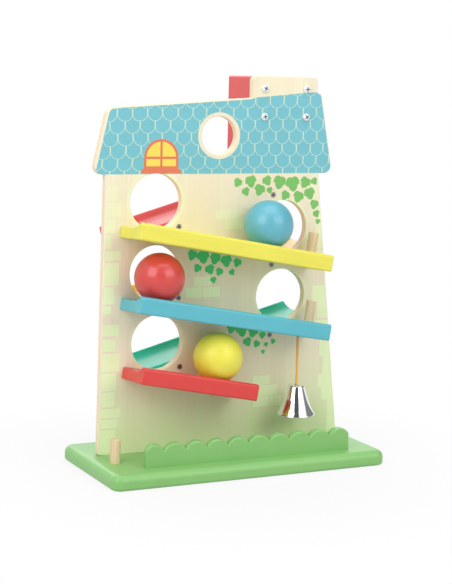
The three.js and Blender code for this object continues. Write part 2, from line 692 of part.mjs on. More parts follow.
// The part's origin is under the middle of its outline: the chimney block reaches behind the base
toy.position.y = (BASE_DEPTH / 2 - (BLOCK_FRONT + BLOCK_DEPTH)) / 2;
const part = new THREE.Group();
part.add(toy);

export default part;
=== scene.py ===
"""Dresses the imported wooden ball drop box: painted rails, a printed house board, balls and a bell."""
import math

import bmesh
import bpy
from bpy.props import FloatProperty, FloatVectorProperty, PointerProperty
from mathutils import Matrix, Vector


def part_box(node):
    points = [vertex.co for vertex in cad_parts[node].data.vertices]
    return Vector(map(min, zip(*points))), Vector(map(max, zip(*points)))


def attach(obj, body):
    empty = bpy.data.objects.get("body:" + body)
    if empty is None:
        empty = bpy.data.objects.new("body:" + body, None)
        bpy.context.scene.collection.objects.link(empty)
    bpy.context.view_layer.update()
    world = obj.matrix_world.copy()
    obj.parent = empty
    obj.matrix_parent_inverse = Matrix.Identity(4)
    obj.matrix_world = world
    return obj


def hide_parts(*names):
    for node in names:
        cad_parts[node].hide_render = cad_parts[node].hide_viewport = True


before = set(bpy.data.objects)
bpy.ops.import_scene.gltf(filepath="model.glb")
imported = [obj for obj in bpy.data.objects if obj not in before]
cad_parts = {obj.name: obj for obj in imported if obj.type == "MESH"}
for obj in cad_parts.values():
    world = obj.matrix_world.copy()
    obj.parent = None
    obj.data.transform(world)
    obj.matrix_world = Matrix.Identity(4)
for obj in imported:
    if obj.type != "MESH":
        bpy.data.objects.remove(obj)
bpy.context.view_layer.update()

bl_info = {
    "name": "Ball drop box",
    "version": (1, 0, 0),
    "blender": (4, 5, 0),
    "location": "View3D > Sidebar > Ball drop box",
    "description": "Builds the visible pieces of a wooden ball drop box around its packed frame",
    "category": "Object",
}

MM = 0.001
PHOTO_SIZE = (452, 584)
BODY = "frame"

# The house board, in millimetres
EAVE = 271
ROOF_LEFT = (-118, 331)
ROOF_RIGHT = (98.3, 346.6)
ROOF_FALL = (ROOF_RIGHT[1] - ROOF_LEFT[1]) / (ROOF_RIGHT[0] - ROOF_LEFT[0])
CHIMNEY_X = 60
CHIMNEY_SIDES = (25.7, 94.3)
CHIMNEY_TOP = 361.6
WALL_FEET = (-123.8, 126.2)
WALL_EAVES = (-119.8, 97.6)
EAVE_TIPS = (-132.2, 112.6)
PANEL_FOOT = 14.45


def roof_height(x):
    return ROOF_LEFT[1] + (x - ROOF_LEFT[0]) * ROOF_FALL


PANEL_CORNERS = (
    # Each corner's x, z and radius, from the left foot round by the right
    (WALL_FEET[0], PANEL_FOOT, 1.5),
    (WALL_FEET[1], PANEL_FOOT, 1.5),
    (WALL_EAVES[1], EAVE, 1),
    (EAVE_TIPS[1], EAVE, 8),
    (*ROOF_RIGHT, 3),
    (CHIMNEY_SIDES[1], roof_height(CHIMNEY_SIDES[1]), 1),
    (CHIMNEY_SIDES[1], CHIMNEY_TOP, 4.5),
    (CHIMNEY_SIDES[0], CHIMNEY_TOP, 4.5),
    (CHIMNEY_SIDES[0], roof_height(CHIMNEY_SIDES[0]), 1),
    (*ROOF_LEFT, 9),
    (EAVE_TIPS[0], EAVE, 8),
    (WALL_EAVES[0], EAVE, 1),
)
# Holes [x, z] from the top down
LEFT_HOLES = ((-70.5, 246.2), (-69.6, 180.7), (-67, 116.2))
RIGHT_HOLES = ((60, 220.4), (60, 154.9))
ROOF_HOLE = (-8.2, 306.2)
ROOF_HOLE_RADIUS = 17.7
BASE_SCREW_XS = (-90, 0, 90)
LEVELS = ("upper", "middle", "lower")
FRONT_PAINTS = ("yellow", "blue", "red")
REAR_PAINTS = ("red", "gold", "teal")
FRONT_SLOPES = (10.2, 10.2, 11.4)  # degrees
REAR_SLOPES = (16.2, 16.1, 15)
HOLE_MARGIN = 0.5  # what lies this near to a screw's hole is taken as its edge, in millimetres
SHARP_ANGLE = 40  # degrees
NEAR = 1e-6  # metres


def srgb(red, green, blue):
    """A colour as it is seen, 0 to 255, as the linear values that Blender works in."""
    def linear(channel):
        value = channel / 255
        return value / 12.92 if value <= 0.04045 else ((value + 0.055) / 1.055) ** 2.4

    return tuple(linear(channel) for channel in (red, green, blue))


def length_prop(name, millimetres, description):
    return FloatProperty(
        name=name, description=description, default=millimetres * MM, unit="LENGTH", precision=4
    )


def colour_prop(name, rgb, description):
    return FloatVectorProperty(
        name=name, description=description, default=srgb(*rgb), subtype="COLOR", min=0, max=1, size=3
    )


class BallRunSizes(bpy.types.PropertyGroup):
    """Sizes that the pieces are made from."""

    seat: length_prop("Seat", 0.2, "Gap between pieces that are screwed together")
    ball_gap: length_prop("Ball gap", 0.3, "Gap between a ball and what it rolls on")
    ball_radius: length_prop("Ball radius", 23, "Radius of each wooden ball")
    hole_radius: length_prop("Hole radius", 25.6, "Radius of the holes that let the balls through")
    panel_edge: length_prop("Board edge", 0.9, "Rounding along the edges of the house board")
    base_corner: length_prop("Base corner", 9.5, "Radius of the base's corners, seen from above")
    base_top_round: length_prop("Base top round", 7, "Rounding along the base's top edge")
    base_foot_round: length_prop("Base foot round", 3, "Rounding along the base's lower edge")
    rail_width: length_prop("Rail width", 47, "Width of a rail across its floor and lip")
    rail_floor: length_prop("Rail floor", 11, "Thickness of a rail at its inner edge")
    rail_height: length_prop("Rail height", 15.4, "Height of a rail's lip")
    rail_lip: length_prop("Rail lip", 4.4, "Width of the top of a rail's lip")
    rail_cove: length_prop("Rail cove", 24, "Radius of the sweep from a rail's floor up to its lip")
    rail_dish: length_prop("Rail dish", 0.7, "Depth of a rail's floor below its inner edge")
    rail_end: length_prop("Rail end", 1.1, "Rounding along the ends of a rail")
    dowel_radius: length_prop("Dowel radius", 4.8, "Radius of the posts and the peg")
    post_height: length_prop("Post height", 24.4, "Height of a stop post over its rail's floor")
    post_inset: length_prop("Post inset", 16.5, "From the board to a stop post's middle")
    cord_diameter: length_prop("Cord diameter", 2.5, "Diameter of the bell's cord")
    print_depth: length_prop("Print depth", 0.08, "Thickness of the printed ink")


class BallRunColours(bpy.types.PropertyGroup):
    """Colours of the paints, the print, the wood and the metal."""

    green: colour_prop("Green", (131, 188, 108), "Paint of the base and the hedge")
    yellow: colour_prop("Yellow", (228, 220, 80), "Paint of the upper front rail")
    blue: colour_prop("Blue", (86, 178, 192), "Paint of the middle front rail")
    red: colour_prop("Red", (214, 58, 54), "Paint of the lower front rail and the upper rear one")
    gold: colour_prop("Gold", (255, 216, 84), "Paint of the middle rear rail")
    teal: colour_prop("Teal", (0, 200, 176), "Paint of the lower rear rail")
    chimney: colour_prop("Chimney", (222, 80, 78), "Paint of the chimney block")
    ball_blue: colour_prop("Blue ball", (93, 173, 191), "Paint of the blue ball")
    ball_red: colour_prop("Red ball", (206, 60, 56), "Paint of the red ball")
    ball_yellow: colour_prop("Yellow ball", (234, 224, 76), "Paint of the yellow ball")
    cream: colour_prop("Cream", (237, 228, 200), "Pale wood of the house board")
    ply: colour_prop("Ply edge", (240, 221, 190), "Sawn edge of the house board")
    moss: colour_prop("Moss", (218, 234, 176), "Green tint printed low on the wall")
    tile: colour_prop("Roof tile", (112, 187, 199), "Printed roof")
    tile_line: colour_prop("Tile line", (214, 226, 194), "Outlines of the printed tiles")
    brick: colour_prop("Brick", (233, 247, 195), "Printed bricks")
    joint: colour_prop("Brick joint", (190, 197, 142), "Lines around the printed bricks")
    leaf: colour_prop("Leaf", (110, 186, 88), "Printed ivy under the eave")
    deep_leaf: colour_prop("Deep leaf", (34, 198, 100), "Printed ivy under the rails")
    window: colour_prop("Window", (240, 214, 84), "Printed window panes")
    window_frame: colour_prop("Window frame", (222, 116, 80), "Printed window frame")
    wood: colour_prop("Bare wood", (231, 206, 166), "Posts and peg")
    cord: colour_prop("Cord", (250, 184, 92), "The bell's cord")
    screw: colour_prop("Screw", (240, 242, 246), "White screw heads on the chimney")


def sizes():
    return bpy.context.scene.ball_run_sizes


def colours():
    return bpy.context.scene.ball_run_colours


# Shader nodes

GRAIN_DEPTH = 0.0004  # metres


def math_node(operation, swapped=False):
    """A method that adds a Math node, its socket first or, for a reflected operator, last."""
    def apply(self, *others):
        inputs = (*others, self) if swapped else (self, *others)
        return self.finish.add("ShaderNodeMath", {"operation": operation}, inputs)

    return apply


class Value:
    """A shader socket that joins in Python arithmetic by adding Math nodes."""

    def __init__(self, finish, socket):
        self.finish = finish
        self.socket = socket

    def math(self, operation, *others):
        return math_node(operation)(self, *others)

    __add__ = __radd__ = math_node("ADD")
    __mul__ = __rmul__ = math_node("MULTIPLY")
    __sub__, __rsub__ = math_node("SUBTRACT"), math_node("SUBTRACT", True)
    __truediv__, __rtruediv__ = math_node("DIVIDE"), math_node("DIVIDE", True)
    __mod__, __rmod__ = math_node("FLOORED_MODULO"), math_node("FLOORED_MODULO", True)
    __lt__, __gt__ = math_node("LESS_THAN"), math_node("GREATER_THAN")
    __abs__ = math_node("ABSOLUTE")


class Finish:
    """A material's or a world's shader, and the one way that nodes are added to it."""

    def __init__(self, owner):
        self.owner = owner
        owner.use_nodes = True
        self.tree = owner.node_tree
        self.tree.nodes.clear()

    def add(self, kind, settings=None, inputs=None, output=0):
        node = self.tree.nodes.new(kind)
        for key, value in (settings or {}).items():
            setattr(node, key, value)
        pairs = inputs.items() if isinstance(inputs, dict) else enumerate(inputs or ())
        for key, value in pairs:
            socket = node.inputs[key]
            if isinstance(value, Value):
                self.tree.links.new(value.socket, socket)
            elif value is not None:
                wide = hasattr(socket.default_value, "__len__") and len(socket.default_value) == 4
                socket.default_value = (*value, 1) if wide and len(value) == 3 else value
        return Value(self, node.outputs[output]) if node.outputs else None

    def coords(self, output="Object"):
        return self.add("ShaderNodeTexCoord", output=output)

    def axes(self, vector):
        split = self.add("ShaderNodeSeparateXYZ", None, (vector,))
        return [Value(self, socket) for socket in split.socket.node.outputs]

    def stretched(self, vector, scale, turn=None):
        """A vector turned about the board's axis, then scaled along its axes."""
        if turn:
            vector = self.add("ShaderNodeMapping", None, {"Vector": vector, "Rotation": (0, turn, 0)})
        return self.add("ShaderNodeMapping", None, {"Vector": vector, "Scale": scale})

    def noise(self, vector, scale=1.0, detail=2.0, roughness=0.5, output=0):
        inputs = {"Vector": vector, "Scale": scale, "Detail": detail, "Roughness": roughness}
        return self.add("ShaderNodeTexNoise", None, inputs, output)

    def chance(self, *parts):
        """A value from 0 to 1 that is steady over each whole-numbered cell."""
        cell = self.add("ShaderNodeCombineXYZ", None, parts)
        return self.add("ShaderNodeTexWhiteNoise", {"noise_dimensions": "3D"}, {"Vector": cell})

    def mix(self, factor, first, second):
        settings = {"data_type": "RGBA", "blend_type": "MIX", "clamp_factor": True}
        return self.add("ShaderNodeMix", settings, {0: factor, 6: first, 7: second}, output=2)

    def step(self, value, low, high):
        """0 below low, 1 above high, and smooth between them."""
        settings = {"interpolation_type": "SMOOTHSTEP"}
        return self.add("ShaderNodeMapRange", settings, {"Value": value, "From Min": low, "From Max": high})

    def bump(self, height, strength, distance):
        values = {"Height": height, "Strength": strength, "Distance": distance}
        return self.add("ShaderNodeBump", None, values)

    def edge(self):
        """How far a point stands out: about a half on flat faces, and more along edges."""
        return self.add("ShaderNodeNewGeometry", output="Pointiness")

    def rays(self):
        """1 for what the camera sees straight on, and 1 for what is mirrored or seen through something."""
        seen, glossy, through = (
            self.add("ShaderNodeLightPath", output=name)
            for name in ("Is Camera Ray", "Is Glossy Ray", "Is Transmission Ray")
        )
        return seen, glossy + through

    def surface(self, **inputs):
        """Ends a material with the main surface shader, its inputs named with _ for a space."""
        named = {key.replace("_", " "): value for key, value in inputs.items()}
        return self.done(self.add("ShaderNodeBsdfPrincipled", None, named))

    def done(self, shader, kind="ShaderNodeOutputMaterial"):
        self.add(kind, None, {"Surface": shader})
        return self.owner


def new_finish(name):
    return Finish(bpy.data.materials.new(name))


def tint(colour, factor):
    return tuple(min(1, channel * factor) for channel in colour)


def paint_finish(
    name, colour, along=(1, 0, 0), turn=None, gloss=0.42, coat=0.15, coat_gloss=0.2, shine=0.5
):
    """Satin lacquer over wood: a trace of grain along one axis, soft mottling and dust in the coat."""
    finish = new_finish(name)
    place = finish.coords()
    scale = tuple(12 if axis else 240 for axis in along)
    grain = finish.noise(finish.stretched(place, scale, turn), detail=4, roughness=0.6)
    pores = finish.noise(finish.stretched(place, tuple(3 * v for v in scale), turn), detail=2)
    mottle = finish.noise(place, 38, 3)
    dust = finish.noise(place, 900, 1)
    shade = finish.step(grain * 0.5 + mottle * 0.5, 0.34, 0.66)
    body = finish.mix(shade, tint(colour, 0.972), tint(colour, 1.022))
    worn = finish.step(finish.edge(), 0.53, 0.60) * finish.step(mottle, 0.45, 0.65)
    body = finish.mix(worn * 0.10, body, tuple(0.7 * c + 0.3 for c in colour))
    body = finish.mix(finish.step(dust, 0.70, 0.78) * 0.08, body, tint(colour, 0.75))
    return finish.surface(
        Base_Color=body,
        Roughness=gloss + mottle * 0.10 + pores * 0.06 - 0.08,
        Normal=finish.bump(grain * 0.5 + pores * 0.3 + dust * 0.2, 0.06, GRAIN_DEPTH),
        Specular_IOR_Level=shine,
        Coat_Weight=coat,
        Coat_Roughness=coat_gloss,
    )


def wood_finish(name, colour, turn=None):
    """Bare turned wood with darker streaks along its length and a darker end."""
    finish = new_finish(name)
    place = finish.coords()
    grain = finish.noise(finish.stretched(place, (420, 420, 16), turn), detail=5, roughness=0.65)
    bands = finish.noise(finish.stretched(place, (150, 150, 6), turn), detail=2)
    streak = finish.step(grain * 0.6 + bands * 0.4, 0.38, 0.62)
    body = finish.mix(streak, tint(colour, 0.80), tint(colour, 1.06))
    _, _, up = finish.axes(finish.coords("Normal"))
    body = finish.mix(finish.step(up, 0.6, 0.95) * 0.35, body, tint(colour, 0.78))
    return finish.surface(
        Base_Color=body,
        Roughness=0.50 + grain * 0.12,
        Normal=finish.bump(grain, 0.18, GRAIN_DEPTH),
        Coat_Weight=0.1,
        Coat_Roughness=0.3,
    )


# The printed house board

TILE_PITCH = 14.5 * MM
TILE_ROW = 11.2 * MM
TILE_FOOT = 264.2 * MM
TILE_RISE = 0.014
TILE_DRIFT = (5 * MM, 2.4 * MM)
TILE_LINE, TILE_LINE_GROWTH = 0.12 * MM, 0.16 * MM
PRINT_EAVE = 271.2 * MM
PRINT_ROUND = 7 * MM
CHIMNEY_KICK, CHIMNEY_RISE = 1.5 * MM, 1.2 * MM  # how far the printed roof climbs the chimney
RING_RADIUS = 21.4 * MM
RING_SOFT = 0.2 * MM
HALO_START, HALO_WIDTH, HALO_SHARE = 1.0 * MM, 3.4 * MM, 0.45
WARM_MIDDLE, WARM_REACH = -8 * MM, (60 * MM, 104 * MM)
MOSS_DRIFT, MOSS_FADE = 40 * MM, (36 * MM, 132 * MM)
INK_FADE = (180 * MM, 245 * MM)
PLY_MIDDLE, PLY_PITCH = 5.25 * MM, 2.667 * MM
PRINT_COAT = {"Coat_Weight": 0.12, "Coat_Roughness": 0.25}
PRINT_SIDES = (
    # The roof's sides as two points [x, z] in millimetres, and the bare margin inside each
    (ROOF_LEFT, (EAVE_TIPS[0], EAVE), 2.0),
    (ROOF_RIGHT, ROOF_LEFT, 1.3),
    ((EAVE_TIPS[1], EAVE), ROOF_RIGHT, 0.8),
)


def roof_depth(finish, x, z):
    """Below zero inside the printed roof, which has rounded corners and rises a little on the chimney."""
    depth = PRINT_EAVE - z
    left, right = (side * MM for side in CHIMNEY_SIDES)
    kick = finish.step(x, left - 3 * MM, left + 5 * MM) * CHIMNEY_KICK
    raised = kick + finish.step(x, left, right) * CHIMNEY_RISE
    for i, ((x0, z0), (x1, z1), margin) in enumerate(PRINT_SIDES):
        length = math.hypot(x1 - x0, z1 - z0)
        out_x, out_z = (z1 - z0) / length, (x0 - x1) / length
        outside = x * out_x + z * out_z - (out_x * x0 + out_z * z0 - margin) * MM
        if i == 1:
            outside = outside - raised
        depth = depth.math("SMOOTH_MAX", outside, PRINT_ROUND)
    return depth


def tile_lines(finish, place, x, z):
    """Hand-drawn outlines of round-ended tiles in rows, each row half a tile along from the next."""
    drift_x, _, drift_z = finish.axes(finish.noise(place, 26, 1, output=1))
    x = x + (drift_x - 0.5) * TILE_DRIFT[0]
    z = z + (drift_z - 0.5) * TILE_DRIFT[1]
    radius = TILE_PITCH / 2
    level = (z - TILE_FOOT - x * TILE_RISE) / TILE_ROW
    row = level.math("FLOOR")
    up = (level - row) * TILE_ROW
    shifted = x / TILE_PITCH + (row % 2.0) * 0.5
    across = ((shifted % 1.0) - 0.5) * TILE_PITCH
    rise = up - radius
    arc = abs((across * across + rise * rise).math("SQRT") - radius)
    side = radius - abs(across)
    above = rise > 0.0
    distance = arc * (1 - above) + side * above
    width = TILE_LINE + finish.step(up, 3 * MM, 9 * MM) * TILE_LINE_GROWTH
    line = 1 - finish.step(distance - width, 0.0, 0.45 * MM)
    faint = 0.62 + finish.step(up, 3 * MM, 8 * MM) * 0.38
    return line * faint, row, shifted.math("FLOOR")


def reach_from(hole, x, z):
    """How far a point is from a hole's middle."""
    across = x - hole[0] * MM
    rise = z - hole[1] * MM
    return (across * across + rise * rise).math("SQRT")


def ring_mask(finish, x, z):
    """1 outside the bare ring around the roof's hole."""
    reach = reach_from(ROOF_HOLE, x, z)
    return finish.step(reach, RING_RADIUS - RING_SOFT, RING_RADIUS + RING_SOFT)


def hole_halo(finish, x, z):
    """1 on the pale ring printed around each large hole, fading outwards."""
    inner = sizes().hole_radius + HALO_START
    reaches = [reach_from(hole, x, z) for hole in LEFT_HOLES + RIGHT_HOLES]
    return sum(1 - finish.step(reach, inner, inner + HALO_WIDTH) for reach in reaches)


def bare_board(finish, place, x, z):
    """Pale wood with upright grain, warm in the middle of the wall and tinted green at its foot."""
    paint = colours()
    grain = finish.noise(finish.stretched(place, (330, 330, 8)), detail=5, roughness=0.6)
    bands = finish.noise(finish.stretched(place, (46, 46, 2.2)), detail=2)
    mottle = finish.noise(finish.stretched(place, (22, 22, 9)), detail=2)
    figure = finish.step(grain * 0.4 + bands * 0.6, 0.34, 0.66)
    bare = finish.mix(figure, tint(paint.cream, 0.93), tint(paint.cream, 1.04))
    warm = tuple(a * b for a, b in zip(paint.cream, (1.0, 0.955, 0.905)))
    inside = 1 - finish.step(abs(x - WARM_MIDDLE), *WARM_REACH)
    bare = finish.mix(inside * (0.35 + finish.step(mottle, 0.38, 0.66) * 0.45), bare, warm)
    streaks = finish.noise(finish.stretched(place, (60, 60, 5)), detail=3)
    low = 1 - finish.step(z + streaks * MOSS_DRIFT, *MOSS_FADE)
    return finish.mix(low * (0.54 + figure * 0.36), bare, paint.moss), grain


def board_finish():
    """Pale plywood, printed on its front with a tiled roof, and sawn at its edges."""
    paint = colours()
    finish = new_finish("printed_board")
    place = finish.coords()
    x, y, z = finish.axes(place)
    _, facing, _ = finish.axes(finish.coords("Normal"))
    bare, grain = bare_board(finish, place, x, z)
    front = facing < -0.6
    wood = finish.mix(grain, tint(paint.cream, 0.93), tint(paint.cream, 1.0))
    bare = finish.mix(hole_halo(finish, x, z) * HALO_SHARE, bare, paint.brick)
    bare = finish.mix(front, wood, bare)

    lines, row, column = tile_lines(finish, place, x, z)
    shade = finish.chance(column, row, 1.0)
    ink = finish.noise(place, 260, 2)
    tile = finish.mix(shade * 0.35 + ink * 0.45, tint(paint.tile, 0.95), tint(paint.tile, 1.05))
    tile = finish.mix(lines, tile, paint.tile_line)
    inside = 1 - finish.step(roof_depth(finish, x, z), -0.2 * MM, 0.1 * MM)
    roof = inside * front * ring_mask(finish, x, z)
    face = finish.mix(roof, bare, tile)

    plies = ((y - PLY_MIDDLE) / PLY_PITCH * (2 * math.pi)).math("COSINE")
    sawdust = finish.noise(finish.stretched(place, (90, 900, 90)), detail=3)
    edge = finish.mix(sawdust, tint(paint.ply, 0.93), tint(paint.ply, 1.07))
    edge = finish.mix(finish.step(plies, 0.72, 0.98) * 0.28, edge, tint(paint.ply, 0.66))
    sawn = 1 - finish.step(abs(facing), 0.25, 0.75)
    return finish.surface(
        Base_Color=finish.mix(sawn, face, edge),
        Roughness=0.46 + grain * 0.08 + sawn * 0.14 - roof * 0.04,
        Normal=finish.bump(grain * 0.6 + ink * 0.25 + roof * 0.1, 0.07, GRAIN_DEPTH),
        **PRINT_COAT,
    )


def ink_finish(name, colour, cover=1.0, fades=0.0):
    """Printed ink that lets some of the board's grain and tint through, and may fade towards the eave."""
    finish = new_finish(name)
    place = finish.coords()
    x, _, z = finish.axes(place)
    bare, grain = bare_board(finish, place, x, z)
    speck = finish.noise(place, 520, 2)
    ink = finish.mix(grain * 0.6 + speck * 0.4, tint(colour, 0.93), tint(colour, 1.06))
    return finish.surface(
        Base_Color=finish.mix(cover - finish.step(z, *INK_FADE) * fades, bare, ink),
        Roughness=0.42 + speck * 0.10,
        Normal=finish.bump(grain, 0.06, 0.0003),
        **PRINT_COAT,
    )


def chrome_finish():
    """Polished plate with faint spun rings, smudges and a few dull specks."""
    finish = new_finish("bell_chrome")
    place = finish.coords()
    rings = finish.noise(finish.stretched(place, (4, 4, 2600)), detail=2)
    smudge = finish.noise(place, 120, 3)
    speck = finish.step(finish.noise(place, 700, 1), 0.70, 0.76)
    body = finish.mix(smudge, (0.82, 0.83, 0.85), (0.94, 0.95, 0.96))
    body = finish.mix(speck * 0.25, body, (0.55, 0.55, 0.56))
    return finish.surface(
        Base_Color=body,
        Metallic=1.0,
        Roughness=0.03 + smudge * 0.05 + speck * 0.12,
        Normal=finish.bump(rings, 0.02, 0.0002),
    )


def steel_finish(name, colour, metallic, roughness):
    """Plated or painted steel, scuffed by the driver."""
    finish = new_finish(name)
    place = finish.coords()
    scuff = finish.noise(place, 1500, 3)
    wear = finish.step(finish.noise(place, 700, 2), 0.52, 0.66)
    body = finish.mix(scuff * 0.4 + wear * 0.3, colour, tint(colour, 0.8))
    return finish.surface(
        Base_Color=body,
        Metallic=metallic,
        Roughness=roughness + scuff * 0.15,
        Normal=finish.bump(scuff, 0.10, 0.0001),
    )


def cord_finish():
    """Twisted fibre with fine hairs along each strand."""
    finish = new_finish("twisted_cord")
    place = finish.coords()
    fibre = finish.noise(finish.stretched(place, (2400, 2400, 700)), detail=3)
    blotch = finish.noise(place, 160, 2)
    colour = colours().cord
    body = finish.mix(fibre * 0.7 + blotch * 0.3, tint(colour, 0.9), tint(colour, 1.2))
    return finish.surface(
        Base_Color=body,
        Roughness=0.80 + fibre * 0.12,
        Normal=finish.bump(fibre, 0.25, 0.0002),
    )


# Mesh helpers


def flat_face(bm, points):
    """One face through points in a ring. Gives its vertices."""
    verts = [bm.verts.new(point) for point in points]
    bm.faces.new(verts)
    return verts


def rectangle(low, high, radius):
    """The corners of a box seen from above, as rounded_face takes them."""
    sides = ((low.x, low.y), (high.x, low.y), (high.x, high.y), (low.x, high.y))
    return [(x, y, radius) for x, y in sides]


def rounded_face(bm, corners, to_point, segments=6):
    """A flat face through corners (a, b, radius), each rounded by a bevel that may bring its own steps."""
    verts = flat_face(bm, [to_point(a, b) for a, b, *_ in corners])
    flat = [Vector((a, b)) for a, b, *_ in corners]
    for i, (vert, (_, _, radius, *steps)) in enumerate(zip(verts, corners)):
        if not radius:
            continue
        arriving = (flat[i] - flat[i - 1]).normalized()
        leaving = (flat[(i + 1) % len(flat)] - flat[i]).normalized()
        setback = radius * math.tan(arriving.angle(leaving) / 2)
        bmesh.ops.bevel(
            bm, geom=[vert], offset=setback, offset_type="OFFSET", profile=0.5, affect="VERTICES",
            segments=steps[0] if steps else segments, material=-1,
        )


def punch_holes(bm, holes, turn):
    """Cuts round holes, each (middle, radius, sides), in the flat face that the mesh holds."""
    bmesh.ops.delete(bm, geom=bm.faces[:], context="FACES_ONLY")
    for middle, radius, sides in holes:
        bmesh.ops.create_circle(
            bm, segments=sides, radius=radius, matrix=Matrix.Translation(middle) @ turn
        )
    bmesh.ops.triangle_fill(bm, use_beauty=True, use_dissolve=False, edges=bm.edges[:])
    bmesh.ops.dissolve_limit(
        bm, angle_limit=0.01, use_dissolve_boundaries=False, verts=bm.verts[:], edges=bm.edges[:]
    )


def thicken(bm, offset):
    """Draws every face of a flat mesh out into a solid."""
    drawn = bmesh.ops.extrude_face_region(bm, geom=bm.faces[:], use_keep_orig=True)
    verts = [item for item in drawn["geom"] if isinstance(item, bmesh.types.BMVert)]
    bmesh.ops.translate(bm, verts=verts, vec=offset)
    face_outwards(bm)


def move(bm, matrix):
    bmesh.ops.transform(bm, matrix=matrix, verts=bm.verts[:])


def merge(bm, distance):
    bmesh.ops.remove_doubles(bm, verts=bm.verts[:], dist=distance)


def face_outwards(bm):
    bmesh.ops.recalc_face_normals(bm, faces=bm.faces[:])


def round_edges(bm, chosen, offset, segments=3):
    """Bevels the edges that a test picks."""
    edges = [edge for edge in bm.edges if chosen(edge)]
    bmesh.ops.bevel(
        bm, geom=edges, offset=offset, offset_type="OFFSET", segments=segments,
        profile=0.5, affect="EDGES", material=-1, clamp_overlap=False,
    )


def sharp(edge):
    return len(edge.link_faces) == 2 and edge.calc_face_angle(0) > math.radians(60)


def level_with(edge, axis, *values):
    """Whether an edge lies in one of the planes across an axis."""
    return any(all(abs(vert.co[axis] - value) < NEAR for vert in edge.verts) for value in values)


def arc(bm, vert, middle, axis, angle, steps):
    """Spins a vertex into an arc, and gives the arc's last vertex."""
    made = bmesh.ops.spin(bm, geom=[vert], cent=middle, axis=axis, angle=angle, steps=steps)
    return next(item for item in made["geom_last"] if isinstance(item, bmesh.types.BMVert))


def spun(bm, profile, steps, middle=(0, 0, 0)):
    """Turns a profile of (radius, height) about the upright axis through middle."""
    verts = [bm.verts.new((middle[0] + r, middle[1], middle[2] + h)) for r, h in profile]
    edges = [bm.edges.new(pair) for pair in zip(verts, verts[1:])]
    bmesh.ops.spin(
        bm, geom=verts + edges, cent=middle, axis=(0, 0, 1), angle=2 * math.pi, steps=steps,
        use_merge=True, use_duplicate=False,
    )
    merge(bm, NEAR)
    face_outwards(bm)


def take_in(bm, part):
    """Adds a part's mesh to another, and frees the part."""
    mesh = bpy.data.meshes.new("part")
    part.to_mesh(mesh)
    part.free()
    bm.from_mesh(mesh)
    bpy.data.meshes.remove(mesh)


def add_piece(name, bm, finish, body=BODY, replaces=(), angle=SHARP_ANGLE, even=True):
    """Makes the mesh an object that rides on a body, shaded smooth except along its sharp edges."""
    mesh = bpy.data.meshes.new(name)
    merge(bm, NEAR / 10)
    bm.to_mesh(mesh)
    bm.free()
    mesh.polygons.foreach_set("use_smooth", [True] * len(mesh.polygons))
    mesh.set_sharp_from_angle(angle=math.radians(angle))
    piece = bpy.data.objects.new(name, mesh)
    bpy.context.scene.collection.objects.link(piece)
    for item in finish if isinstance(finish, tuple) else (finish,):
        mesh.materials.append(item)
    if even:
        piece.modifiers.new("Even normals", "WEIGHTED_NORMAL").keep_sharp = True
    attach(piece, body)
    if replaces:
        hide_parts(*replaces)
    return piece


def weld(mesh):
    """Joins corners that a cut left in the same place."""
    bm = bmesh.new()
    bm.from_mesh(mesh)
    merge(bm, NEAR)
    bmesh.ops.dissolve_degenerate(bm, edges=bm.edges[:], dist=NEAR)
    bm.to_mesh(mesh)
    bm.free()


def carve(piece, cutter_bm):
    """Takes the cutter's volume out of a piece's mesh."""
    cutter_mesh = bpy.data.meshes.new("cutter")
    cutter_bm.to_mesh(cutter_mesh)
    cutter_bm.free()
    cutter = bpy.data.objects.new("cutter", cutter_mesh)
    bpy.context.scene.collection.objects.link(cutter)
    boolean = piece.modifiers.new("Carve", "BOOLEAN")
    boolean.object = cutter
    boolean.solver = "EXACT"
    for modifier in piece.modifiers:
        modifier.show_viewport = modifier == boolean
    graph = bpy.context.evaluated_depsgraph_get()
    carved = bpy.data.meshes.new_from_object(piece.evaluated_get(graph))
    if len(carved.polygons) in (0, len(piece.data.polygons)):
        raise RuntimeError(f"{piece.name} could not be carved")
    carved.name = piece.name
    weld(carved)
    piece.modifiers.remove(boolean)
    for modifier in piece.modifiers:
        modifier.show_viewport = True
    piece.data = carved
    carved.set_sharp_from_angle(angle=math.radians(SHARP_ANGLE))
    bpy.data.objects.remove(cutter)


# Rails, in millimetres along x from the holes that they serve

RAIL_TILT = math.radians(3.3)
RAIL_TAIL = 35.5
FRONT_HEAD = 28.2
REAR_HEAD = 29.2
LOWEST_RUN = 80.4
HOLE_STEP = 1.2
POST_SINK = 6
DOWEL_EDGE = 0.7
# Rounding of a rail's section: outer foot, both edges of the lip, the floor's inner end and its edge
OUTER_FOOT, LIP_OUTER, LIP_INNER, FLOOR_END, FLOOR_EDGE = 1.6, 2.6, 1.1, 12, 1.0
FLOOR_RUN = 5
COVE_SHARE = 0.93


